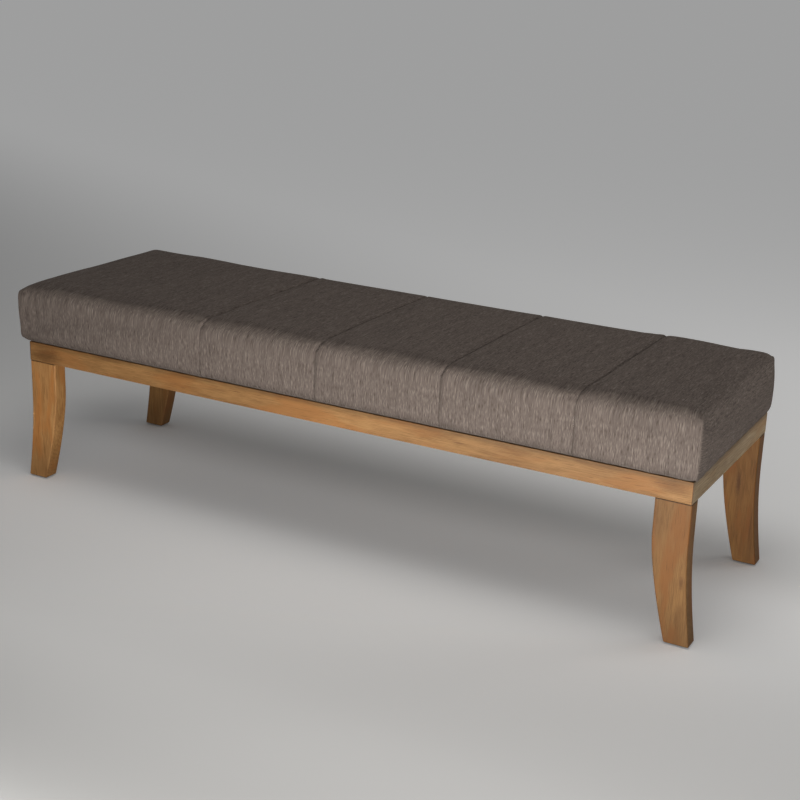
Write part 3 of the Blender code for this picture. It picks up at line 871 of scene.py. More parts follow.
@dataclass
class SabreLeg:
    """A leg that is cut from the flat and sweeps outwards to its foot.

    Each edge of the sweep has shares for the reach of its upper handle, the reach of its lower
    one and that one's rake. Each leg's tone is painted light and shade that lightens or darkens it to
    how brightly it is lit, its share at the floor is painted shade, and these and the knots are the four
    legs', in the order of the corners.
    """

    height: float = 0.2737
    floor_gap: float = 0.0023
    width: float = 0.068
    depth: float = 0.034
    foot_width: float = 0.0475
    kick: float = 0.019
    start: float = 0.212
    outer_shares: tuple[float, float, float] = (0.43, 0.28, 0.15)
    inner_shares: tuple[float, float, float] = (0.28, 0.28, 0.29)
    ease: float = 0.0028
    steps: int = 22
    curve_points: int = 80
    # Painted light and shade: each leg lightened or darkened to how brightly it is lit.
    painted_light_tones: tuple[Colour, ...] = (
        (1.16, 1.13, 1.12),
        (0.56, 0.53, 0.46),
        (0.50, 0.47, 0.42),
        (0.57, 0.49, 0.33),
    )
    # Painted shade: how light each leg stays at the floor.
    painted_foot_shades: tuple[float, ...] = (0.62, 0.72, 0.60, 0.90)
    knots: tuple[tuple[Knot, ...], ...] = (
        (),
        (Knot((0.744, -0.225, 0.125), 0.021, 3.2, 0.6),),
        (),
        (Knot((0.717, 0.191, 0.171), 0.036, 5.0, 0.75), Knot((0.7505, 0.191, 0.079), 0.062, 16.0, 0.5)),
    )

    def edge(self, top_x: float, foot_x: float, shares: Sequence[float]) -> tuple[np.ndarray, np.ndarray]:
        """One edge of the sweep, as heights from the floor up and the place at each.

        Args:
            top_x: Where the edge starts.
            foot_x: Where it ends at the floor.
            shares: Its three shares.

        Returns:
            The heights and the places along X.
        """
        drop = self.start - self.floor_gap
        begin = Vector((top_x, self.start))
        foot = Vector((foot_x, self.floor_gap))
        rise = drop * shares[1]
        handles = (begin - Vector((0, drop * shares[0])), foot + Vector((-rise * shares[2], rise)))
        points = np.array(interpolate_bezier(begin, *handles, foot, self.curve_points))[::-1]
        return points[:, 1], points[:, 0]

    def model(self) -> Object:
        """Models the right front leg's shape, its outer top corner at the frame's end.

        Returns:
            The leg, front face at y 0.
        """
        outer = self.edge(0.0, self.kick, self.outer_shares)
        inner = self.edge(-self.width, self.kick - self.foot_width, self.inner_shares)
        leg = Tools.add(
            bpy.ops.mesh.primitive_plane_add,
            "sabre_leg",
            (self.width, self.height - self.start, 1),
            location=(-self.width / 2, 0, (self.height + self.start) / 2),
            rotation=(math.pi / 2, 0, 0),
        )
        lowest = self.start + self.ease
        Tools.pick_edges(leg, lambda at, way, bend: (at[:, 2] < lowest) & (np.abs(way[:, 0]) > 0.9))
        levels = np.linspace(self.start, self.floor_gap, self.steps + 1)
        with Tools.editing(leg):
            last = (-self.width, 0.0)
            for above, level in zip(levels, levels[1:]):
                ends = (np.interp(level, *inner), np.interp(level, *outer))
                self.extrude((sum(ends) - sum(last)) / 2, 0, level - above)
                wider = (ends[1] - ends[0]) / (last[1] - last[0])
                bpy.ops.transform.resize(value=(wider, 1, 1), center_override=(sum(ends) / 2, 0, level))
                last = ends
            bpy.ops.mesh.select_all(action="SELECT")
            self.extrude(0, self.depth, 0)
            bpy.ops.mesh.select_all(action="SELECT")
            bpy.ops.mesh.normals_make_consistent(inside=False)
        top = self.height - self.ease
        Tools.bevel(leg, lambda at, way, bend: (bend > 0.9) & (at[:, 2] < top), self.ease, 4)
        return leg

    @staticmethod
    def extrude(*shift: float) -> None:
        """Extrudes what is selected and moves it by a shift."""
        bpy.ops.mesh.extrude_region_move(TRANSFORM_OT_translate={"value": shift})

    def build(self) -> None:
        """Copies the modelled leg to the four corners and dresses each."""
        pattern = self.model()
        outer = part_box("right_rail")[1].x
        for number, corner in enumerate(Corner):
            node = f"leg_{corner.tag}"
            side = corner.value[0]
            leg = Tools.copy(pattern, f"{node}_oak")
            shift = Matrix.Translation((side * outer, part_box(node)[0].y, 0))
            leg.data.transform(shift @ Matrix.Diagonal((side, 1, 1, 1)))
            if side < 0:
                leg.data.flip_normals()
            Tools.finish_wood(leg)
            timber = replace(
                OAK,
                name=f"oak_{node}",
                run=Run.ALONG_Z,
                seed=3.0 + number,
                tone=self.painted_light_tones[number],
                knots=self.knots[number],
                joints=((Run.ALONG_Z, self.height), (Run.ALONG_Z, self.floor_gap)),
                warm_share=0.85,
                painted_foot_shade=self.painted_foot_shades[number],
            )
            Tools.dress(leg, timber.make(), "oak", node)
        bpy.data.objects.remove(pattern)


@dataclass
class PadForm:
    """The pad's outer form: a box that is rounded, crowned, bellied and drawn in.

    Its left end stands proud towards the front, its left front top corner falls, and it has
    low shoulders near both ends towards the back.
    """

    low: Vector
    high: Vector
    seams: list[float]
    front_round: float = 0.025
    front_drop: float = 0.028
    end_round: float = 0.016
    corner_round: float = 0.0052
    back_corner: float = 0.014
    hem_round: float = 0.011
    hem_rise: float = 0.020
    crown: float = 0.0014
    dip: float = 0.0014
    left_proud: float = 0.013
    left_flare: float = 0.010
    left_reach: float = 0.240
    left_fall: float = 0.006
    fall_reach: float = 0.05
    shoulder: float = 0.003
    shoulder_share: float = 0.79
    shoulder_width_share: float = 0.14
    belly: float = 0.0025
    draw_in: float = 0.0015
    hem: float = 0.030
    seam_loops: tuple[float, ...] = (0.003, 0.008)
    lean_room: float = 0.15
    front_lean: float = -0.008
    top_lean: float = 0.001
    back_lean: float = 0.004
    last_lean: float = -0.004

    @staticmethod
    def rounded(
        places: tuple[np.ndarray, np.ndarray],
        halves: Sequence[float],
        upper: Sequence[float],
        lower: Sequence[float],
    ) -> tuple[np.ndarray, np.ndarray]:
        """Draws points near the edge where two faces meet in onto an elliptical rounding.

        Args:
            places: The points' places across one face, and across the other.
            halves: The half sizes to the two faces.
            upper: The rounding's reach along each where the second place is over 0.
            lower: Its reach along each elsewhere.

        Returns:
            The new places.
        """
        above = places[1] > 0
        reaches = [np.where(above, high, low) for high, low in zip(upper, lower)]
        over = [
            np.maximum(0.0, (np.abs(place) - half + reach) / reach)
            for place, half, reach in zip(places, halves, reaches)
        ]
        near = (over[0] > 0) & (over[1] > 0)
        scale = np.maximum(*over) / np.maximum(np.hypot(*over), 1e-9)
        moved = [
            np.where(near, np.copysign(half - reach + share * scale * reach, place), place)
            for place, half, reach, share in zip(places, halves, reaches, over)
        ]
        return moved[0], moved[1]

    def shaped(self, points: np.ndarray, lowered: float) -> np.ndarray:
        """Where the points of a plain box lie on the pad's form.

        Args:
            points: The box's points, a row each.
            lowered: How far under the form they end up.

        Returns:
            The points on the form.
        """
        middle = (self.low + self.high) / 2
        half = (self.high - self.low) / 2
        x, y, z = points.T
        z = z - middle.z
        foot = (self.hem_round, self.hem_rise)
        y, z = self.rounded((y, z), half.yz, (self.front_round, self.front_drop), foot)
        x, z = self.rounded((x, z), half.xz, (self.end_round, self.end_round), foot)
        x, y = self.rounded((x, y), half.xy, [self.back_corner] * 2, [self.corner_round] * 2)
        along, over = np.abs(x) / half.x, np.abs(y) / half.y
        rise = (z + half.z) / (2 * half.z)
        lean = self.belly * np.sin(np.pi * rise)
        hollow = self.draw_in * np.sin(np.pi / 2 * rise)
        x = x + np.sign(x) * (lean - hollow * (1 - over**2)) * along
        y = y + np.sign(y) * (lean - hollow * (1 - along**2)) * over
        z = z + rise * (1 - along**2) * (self.crown * (1 - over**2) - self.dip)
        to_left = ramp(-x, half.x - self.left_reach, self.left_reach) ** 2
        to_front = ramp(-y, -half.y, 2 * half.y) ** 0.7
        x = x - (self.left_proud + self.left_flare * rise) * to_left * to_front
        corner = hump(np.hypot(x + half.x + self.left_proud, y + half.y), 0, self.fall_reach)
        shoulder = hump(np.abs(x) / half.x, self.shoulder_share, self.shoulder_width_share)
        z = z + rise * (self.shoulder * shoulder * ramp(y, 0, half.y) - self.left_fall * corner)
        return np.stack([x, y, z + middle.z - lowered], axis=1)

    def leant(self, points: np.ndarray) -> np.ndarray:
        """Moves finished points sideways, as the seams drift from the back to the foot of the front face.

        Args:
            points: The points, a row each.

        Returns:
            The moved points.
        """
        x, y = points[:, 0], points[:, 1]
        levels = (self.low.y, self.low.y + self.front_round, 0.0, self.high.y)
        lean = np.interp(y, levels, (self.front_lean, -self.top_lean, self.top_lean, self.back_lean))
        start, end = self.seams[-2:]
        lean = lean + self.last_lean * ramp(x, start, end - start)
        room = ramp(self.high.x - np.abs(x), 0, self.lean_room)
        return points + np.stack([lean * room**2 * (3 - 2 * room), 0 * x, 0 * x], axis=1)

    def away(self, x: np.ndarray) -> np.ndarray:
        """How far each place along X is from the nearest seam."""
        return np.min([np.abs(x - seam) for seam in self.seams], axis=0)

    def grid(self, name: str, cell: float) -> Object:
        """The plain box, cut into even cells with close rows of them along its seams and edges.

        Args:
            name: The object's name.
            cell: The cells' size.

        Returns:
            The box.
        """
        low, high = self.low, self.high
        box = Tools.box(name, low, high)
        rows = (self.corner_round / 2, self.corner_round, self.hem)
        planes = [[low[axis] + row for row in rows] + [high[axis] - row for row in rows] for axis in (0, 1)]
        for seam in self.seams:
            planes[0] += [seam + side * reach for reach in (0, *self.seam_loops) for side in (-1, 1)]
        for axis, places in enumerate((*planes, [low.z + self.hem_rise, high.z - self.front_drop])):
            normal = [float(number == axis) for number in range(3)]
            with Tools.editing(box, "FACE"):
                for place in sorted(set(places)):
                    bpy.ops.mesh.select_all(action="SELECT")
                    bpy.ops.mesh.bisect(plane_co=[place] * 3, plane_no=normal, threshold=Tools.weld)
            self.divide(box, axis, sorted({low[axis], high[axis], *places}), cell)
        return box

    @staticmethod
    def divide(box: Object, axis: int, planes: list[float], cell: float) -> None:
        """Cuts every section of a box along one axis into even cells.

        Args:
            box: The box.
            axis: The axis.
            planes: Where the sections start and end.
            cell: The cells' size.
        """
        sections: dict[int, list[tuple[float, float]]] = {}
        for start, end in zip(planes, planes[1:]):
            sections.setdefault(round((end - start) / cell) - 1, []).append((start, end))
        for cuts, spans in sections.items():
            if cuts < 1:
                continue

            def inside(at: np.ndarray, way: np.ndarray, bend: np.ndarray) -> np.ndarray:
                """Picks the edges of these sections that run along the axis."""
                held = np.any([(at[:, axis] > start) & (at[:, axis] < end) for start, end in spans], axis=0)
                return held & (np.abs(way[:, axis]) > 0.9)

            Tools.pick_edges(box, inside)
            with Tools.editing(box):
                bpy.ops.mesh.subdivide(number_cuts=cuts)


CLOTH_SETTINGS = {
    "vertex_group_mass": "held",
    "pin_stiffness": 1.0,
    "quality": 5,
    "mass": 0.3,
    "tension_stiffness": 24,
    "compression_stiffness": 24,
    "shear_stiffness": 10,
    "bending_stiffness": 0.8,
    "use_pressure": True,
    "uniform_pressure_force": 3.0,
}


@dataclass
class Relief:
    """The finer form of the sewn cover: its seams, gathers, folds and hanging lower edge.

    The seams' groove is shallower on the sides by side_share, and has a notch near the front and
    back edges of the top. All but the edge starts a little above the hem. The numbers that
    multiply a place inside a sine are its waves, in radians a metre.
    """

    form: PadForm
    start: float = 0.010
    full: float = 0.020
    top_band: float = 0.020
    groove: float = 0.0026
    groove_reach: float = 0.0065
    side_share: float = 0.75
    notch_share: float = 0.8
    notch_inset: float = 0.008
    notch_reach: float = 0.010
    pucker: float = 0.00055
    pucker_pitch: float = 0.017
    pucker_reach: float = 0.016
    edge_inset: float = 0.030
    edge_reach: float = 0.035
    ripple: float = 0.0007
    fold_start: float = 0.002
    fold_height: float = 0.004
    fold_reach: float = 0.018
    rail_room: float = 0.0008
    sag_room: float = 0.004
    sag_height: float = 0.060
    corner_sag: float = 0.0042
    corner_reach: float = 0.130
    front_sag: float = 0.0018
    front_start: float = -0.300
    front_full: float = 0.600
    front_depth: float = 0.200

    def press(self, pad: Object) -> None:
        """Draws the seams in, and puckers the cloth beside them and along the hem.

        Args:
            pad: The swelled pad, which is changed.
        """
        points = Tools.points(pad.data)
        normals = Tools.normals(pad.data)
        x, y, z = points.T
        rise = z - self.form.low.z
        inset = self.form.high.y - np.abs(y)
        away = self.form.away(x)
        upper = ramp(rise, self.start, self.full)
        on_top = z > self.form.high.z - self.top_band
        stronger = 0.55 + 1.1 * hump(inset, self.edge_inset, self.edge_reach)
        depth = self.gathers(points, normals, away) * stronger
        depth = depth + self.folds(points, normals, rise) + self.drift(points) * upper
        sink = self.groove * (1 - ramp(away, 0, self.groove_reach)) ** 1.6
        notch = hump(inset, self.notch_inset, self.notch_reach) * on_top
        depth = depth - sink * (np.where(on_top, 1.0, self.side_share) + self.notch_share * notch) * upper
        points = points + normals * depth[:, None]
        points[:, 2] = np.maximum(points[:, 2], self.form.low.z)
        points[:, 2] -= self.droop(points)
        Tools.place(pad.data, points)

    def gathers(self, points: np.ndarray, normals: np.ndarray, away: np.ndarray) -> np.ndarray:
        """The puckers that run out from both sides of each seam.

        Args:
            points: The cover's points, a row each.
            normals: Its normals.
            away: How far each point is from the nearest seam.

        Returns:
            How far each point is pushed out.
        """
        x, y, z = points.T
        travel = y + np.where(np.abs(normals[:, 1]) > 0.6, z * 1.3, 0)
        nearest = np.argmin([np.abs(x - seam) for seam in self.form.seams], axis=0)
        side = np.sign(x - np.array(self.form.seams)[nearest])
        phase = travel * math.tau / self.pucker_pitch
        wander = np.sin(x * 9.1 + 1.3) * 2 + side * 1.1
        gather = np.sin(phase + wander + 1.4 * np.sin(phase * 0.37 + wander))
        gather *= 0.55 + 0.45 * np.sin(phase * 0.21 + 2 * wander)
        return self.pucker * np.exp(-away / self.pucker_reach) * gather

    def folds(self, points: np.ndarray, normals: np.ndarray, rise: np.ndarray) -> np.ndarray:
        """The small upright folds that the pulled hem leaves above it.

        Args:
            points: The cover's points, a row each.
            normals: Its normals.
            rise: How far each point is above the hem.

        Returns:
            How far each point is pushed out.
        """
        x, y, _ = points.T
        hem = np.exp(-np.abs(rise - self.fold_height) / self.fold_reach) * (rise > self.fold_start)
        folds = np.sin(x * 151 + 2.2 * np.sin(x * 23)) * np.sin(x * 37 + 1)
        folds += 0.8 * np.sin(y * 163 + 1.7) * (np.abs(normals[:, 0]) > 0.6)
        return self.ripple * 0.6 * hem * folds

    def drift(self, points: np.ndarray) -> np.ndarray:
        """The slow unevenness of the stretched cloth."""
        x, y, z = points.T
        return self.ripple * 0.7 * np.sin(x * 17 + 2 * np.sin(y * 11)) * np.sin(y * 19 + z * 13)

    def droop(self, points: np.ndarray) -> np.ndarray:
        """How far the cover's lower edge hangs past the top of the rails, most at the right front corner.

        Args:
            points: The cover's points, a row each.

        Returns:
            The drop of each point, 0 for those above or inside the rails' outer faces.
        """
        x, y, z = points.T
        corner = (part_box("right_rail")[1].x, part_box("front_rail")[0].y)
        outside = np.maximum(x - corner[0], corner[1] - y)
        free = ramp(outside, self.rail_room, self.sag_room)
        free = free * (1 - ramp(z, self.form.low.z, self.sag_height))
        near = np.exp(-np.hypot(x - corner[0], y - corner[1]) / self.corner_reach)
        along_front = ramp(x, self.front_start, self.front_full) * ramp(-y, 0, self.front_depth)
        return free * (self.corner_sag * near + self.front_sag * along_front)


@dataclass
class Wadding:
    """The fibre wrap under the cover, which dips further than the cover along the seams."""

    thickness: float = 0.0045
    gap: float = 0.0022
    dip: float = 0.00572
    dip_reach: float = 0.0065
    dip_width_share: float = 1.2

    def build(self, piece: Object, form: PadForm, cover: float, material: Material) -> None:
        """Turns a copy of the pad's skin into the wadding.

        Args:
            piece: The copy.
            form: The pad's form.
            cover: The cover's thickness.
            material: The wadding's material.
        """
        Tools.apply(piece, "SMOOTH", factor=0.5, iterations=3)
        points = Tools.points(piece.data)
        dip = self.dip * np.clip(self.dip_width_share - form.away(points[:, 0]) / self.dip_reach, 0, 1)
        inwards = Tools.normals(piece.data) * (cover + self.gap + dip)[:, None]
        Tools.place(piece.data, form.leant(points - inwards))
        Tools.apply(piece, "SMOOTH", factor=0.5, iterations=8)
        Tools.slice(piece, (0, 0, form.low.z + self.gap), (0, 0, -1), fill=False)
        Tools.apply(piece, "SOLIDIFY", thickness=self.thickness, offset=-1.0)
        Tools.smooth(piece, 60)
        Tools.dress(piece, material, "wadding", "seat_wadding")


@dataclass
class FoamCore:
    """The foam inside the wadding, pressed in along the seams."""

    inset: float = 0.0085
    headroom: float = 0.001
    back_corner: float = 0.006
    corner_round: float = 0.003
    hem_round: float = 0.004
    hem_rise: float = 0.006
    press: float = 0.0045
    press_reach: float = 0.036
    press_start: float = 0.010
    press_full: float = 0.050

    def build(self, outer: PadForm, cell: float, material: Material) -> None:
        """Models the foam and dresses it.

        Args:
            outer: The pad's form.
            cell: The size of the foam's cells.
            material: Its material.
        """
        low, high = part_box("seat_foam")
        trim = Vector((outer.belly, outer.belly, 0))
        form = replace(
            outer,
            low=low + trim,
            high=high - trim - Vector((0, 0, outer.crown + self.headroom)),
            front_round=outer.front_round - self.inset,
            front_drop=outer.front_drop - self.inset,
            back_corner=self.back_corner,
            end_round=outer.end_round - self.inset,
            corner_round=self.corner_round,
            hem_round=self.hem_round,
            hem_rise=self.hem_rise,
        )
        foam = form.grid("foam_core", cell)
        points = form.shaped(Tools.points(foam.data), 0.0)
        upper = ramp(points[:, 2], low.z + self.press_start, self.press_full)
        points[:, 2] -= self.press * upper * (1 - ramp(outer.away(points[:, 0]), 0, self.press_reach)) ** 2
        Tools.place(foam.data, outer.leant(points))
        Tools.smooth(foam, 40)
        Tools.dress(foam, material, "foam", "seat_foam")


@dataclass
class SeatPad:
    """The upholstered pad: five sewn panels over wadding and foam."""

    panels: int = 5
    cell: float = 0.008
    swell: float = 0.0032
    thickness: float = 0.0012
    seam_gap: float = 0.00004
    seam_hold: float = 0.95
    hem_hold: float = 0.006
    hem_fading: float = 0.008
    frames: int = 20
    form: PadForm = field(init=False)

    def __post_init__(self) -> None:
        """Reads the pad's box and its seams from the frame."""
        boxes = [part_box(f"cover_panel_{number + 1}") for number in range(self.panels)]
        low = Vector([min(box[0][axis] for box in boxes) for axis in range(3)])
        high = Vector([max(box[1][axis] for box in boxes) for axis in range(3)])
        seams = [(left[1].x + right[0].x) / 2 for left, right in zip(boxes, boxes[1:])]
        self.form = PadForm(low, high, seams)
        trim = Vector((self.form.belly, self.form.belly, 0))
        self.form.low += trim
        self.form.high = high - trim - Vector((0, 0, self.form.crown))

    def lay_cloth(self, piece: Object) -> None:
        """Gives a pad's mesh its flat cloth map, in metres across and along the threads.

        Args:
            piece: The pad, still a plain box.
        """
        form, mesh = self.form, piece.data
        points = Tools.points(mesh)
        spare = 1 - math.pi / 4
        drop = form.high.z - points[:, 2]
        below = np.where(drop > form.front_drop, drop - form.front_drop * 2 * spare, drop * math.pi / 4)
        rounds = (form.end_round, form.front_round)
        loops = Tools.read(mesh.loops, "vertex_index", 1, np.int32)[:, 0]
        corners = Tools.read(mesh.polygons, "loop_total", 1, np.int32)[:, 0]
        normals = np.repeat(Tools.read(mesh.polygons, "normal", 3, np.float32), corners, axis=0)
        at, down = points[loops], below[loops]
        flat = at[:, :2].copy()
        for axis, reach in enumerate(rounds):
            past = np.maximum(0, np.abs(at[:, axis]) - form.high[axis] + reach) * spare
            flat[:, axis] -= np.sign(at[:, axis]) * past
        for axis in (1, 0):
            side = np.abs(normals[:, axis]) > 0.5
            flat[side, axis] += (np.sign(normals[:, axis]) * down)[side]
            flat[side, 1 - axis] = at[side, 1 - axis]
        layer = mesh.uv_layers.new(name="cloth")
        layer.uv.foreach_set("vector", flat.astype(np.float32).ravel())

    def inflate(self, pad: Object) -> None:
        """Swells the cloth between its seams by simulation, and eases how far it moves.

        Args:
            pad: The gridded pad on its form, which is changed.
        """
        rest = Tools.points(pad.data)
        group = pad.vertex_groups.new(name="held")
        for index, weight in enumerate(self.hold(rest)):
            if weight > 0:
                group.add([index], float(weight), "REPLACE")
        modifier = pad.modifiers.new("cloth", "CLOTH")
        for name, value in CLOTH_SETTINGS.items():
            setattr(modifier.settings, name, value)
        modifier.settings.effector_weights.gravity = 0.0
        scene = bpy.context.scene
        scene.frame_start, scene.frame_end = 1, self.frames
        for number in range(1, self.frames + 1):
            scene.frame_set(number)
        Tools.take(pad)
        bpy.ops.object.modifier_apply(modifier=modifier.name)
        scene.frame_set(1)
        moved = Tools.points(pad.data) - rest
        length = np.linalg.norm(moved, axis=1, keepdims=True)
        reach = np.tanh(length / self.swell) * self.swell
        LOG.info("the pad swelled by %.1f mm at most", 1000 * float(length.max()))
        Tools.place(pad.data, rest + moved * reach / np.maximum(length, 1e-9))

    def hold(self, rest: np.ndarray) -> np.ndarray:
        """How firmly each point is held: whole on the hem, and part way on the seams.

        Args:
            rest: The points before the simulation.

        Returns:
            A weight from 0 to 1 for each.
        """
        seam = 1 - ramp(self.form.away(rest[:, 0]), 0, self.form.seam_loops[0])
        base = 1 - ramp(rest[:, 2] - self.form.low.z, self.hem_hold, self.hem_fading)
        return np.maximum(seam * self.seam_hold, base)

    def cover(self, pad: Object, weave: Material) -> None:
        """Cuts the pad's skin into its panels and gives each its thickness.

        Args:
            pad: The finished skin, which is used up.
            weave: The cloth.
        """
        form = self.form
        x, y, z = Tools.read(pad.data.polygons, "center", 3, np.float32).T
        inside = (np.abs(x) < form.high.x - form.hem) & (np.abs(y) < form.high.y - form.hem)
        Tools.clear_selection(pad)
        pad.data.polygons.foreach_set("select", inside & (z < form.low.z + self.hem_hold))
        with Tools.editing(pad, "FACE"):
            bpy.ops.mesh.delete(type="FACE")
        bounds = [form.low.x - form.hem, *form.seams, form.high.x + form.hem]
        for number, (start, end) in enumerate(zip(bounds, bounds[1:])):
            panel = Tools.copy(pad, f"cover_{number + 1}_sewn")
            for place, way in ((start + self.seam_gap, -1), (end - self.seam_gap, 1)):
                Tools.slice(panel, (place, 0, 0), (way, 0, 0), fill=False)
            Tools.place(panel.data, form.leant(Tools.points(panel.data)))
            Tools.apply(panel, "SOLIDIFY", thickness=self.thickness, offset=-1.0)
            Tools.smooth(panel, 60)
            Tools.dress(panel, weave, "taupe_weave", f"cover_panel_{number + 1}")
        bpy.data.objects.remove(pad)

    def build(self, finishes: dict[str, Material]) -> None:
        """Makes the cover, the wadding and the foam.

        Args:
            finishes: The materials by name.
        """
        form = self.form
        pad = form.grid("pad", self.cell * (1))
        self.lay_cloth(pad)
        Tools.place(pad.data, form.shaped(Tools.points(pad.data), self.swell / 2))
        LOG.info("pad grid: %d faces", len(pad.data.polygons))
        self.inflate(pad)
        wadding = Tools.copy(pad, "wadding_wrap")
        Tools.apply(pad, "SUBSURF", levels=1, render_levels=1)
        Relief(form).press(pad)
        self.cover(pad, finishes["weave"])
        Wadding().build(wadding, form, self.thickness, finishes["wadding"])
        FoamCore().build(form, 2 * self.cell, finishes["foam"])


@dataclass
class DustCloth:
    """The black cloth stretched under the seat, slack between the cross rails."""

    width: float = 0.430
    length: float = 1.480
    slack: float = 0.0016
    carried: float = 0.02
    tacked: float = 0.01
    fading: float = 0.09
    cell: float = 0.010

    def build(self, material: Material) -> None:
        """Makes the cloth.

        Args:
            material: Its material.
        """
        low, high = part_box("dust_cloth")
        cloth = Tools.add(
            bpy.ops.mesh.primitive_grid_add,
            "dust_cloth_sheet",
            (self.length, self.width, 1),
            x_subdivisions=round(self.length / self.cell),
            y_subdivisions=round(self.width / self.cell),
            location=(0, 0, (low.z + high.z) / 2),
        )
        points = Tools.points(cloth.data)
        x, y = points[:, 0], points[:, 1]
        rails = [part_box(f"cross_rail_{side}") for side in ("left", "middle", "right")]
        lines = [(start.x + end.x) / 2 for start, end in rails]
        away = np.min([np.abs(x - line) for line in (*lines, -self.length / 2, self.length / 2)], axis=0)
        free = ramp(away, self.carried, self.fading)
        free = free * ramp(-np.abs(y), self.tacked - self.width / 2, self.fading)
        crease = 0.5 + 0.5 * np.sin(x * 61 + y * 23 + 2 * np.sin(y * 31))
        points[:, 2] -= self.slack * free * (0.6 + 0.8 * crease)
        Tools.place(cloth.data, points)
        Tools.apply(cloth, "SOLIDIFY", thickness=high.z - low.z, offset=0.0)
        Tools.smooth(cloth, 60)
        Tools.dress(cloth, material, "black_cloth", "dust_cloth")


@dataclass
class Hardware:
    """The nodes that keep their shape and are only given a finish."""

    finishes: dict[str, Material]
    families: tuple[tuple[str, str], ...] = (
        ("corner_block_", "beech_block"),
        ("leg_dowel_", "beech_dowel"),
        ("mitre_spline_", "beech_spline"),
        ("cross_rail_", "pine"),
        ("leg_bolt_", "zinc"),
        ("washer_", "zinc"),
        ("nut_", "zinc"),
        ("seat_screw_", "zinc"),
        ("foot_glide_", "nylon"),
        ("seat_board", "plywood"),
    )

    def dress(self) -> int:
        """Finishes every node that no new piece replaces.

        Returns:
            How many there are.
        """
        count = 0
        for name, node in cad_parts.items():
            for start, finish in self.families:
                if name.startswith(start):
                    for slot in node.material_slots:
                        slot.material = self.finishes[finish]
                    count += 1
        return count


@dataclass(frozen=True)
class Lamp:
    """A soft rectangular lamp."""

    name: str
    place: Point
    target: Point
    power: float
    size: tuple[float, float]
    tint: Colour = (1.0, 0.985, 0.96)

    def hang(self) -> None:
        """Adds the lamp to the scene, turned to what it points at."""
        data = bpy.data.lights.new(self.name, "AREA")
        data.shape = "RECTANGLE"
        data.size, data.size_y = self.size
        data.energy = self.power
        data.color = self.tint
        lamp = bpy.data.objects.new(self.name, data)
        bpy.context.scene.collection.objects.link(lamp)
        lamp.location = self.place
        way = Vector(self.target) - Vector(self.place)
        lamp.rotation_euler = way.to_track_quat("-Z", "Y").to_euler()


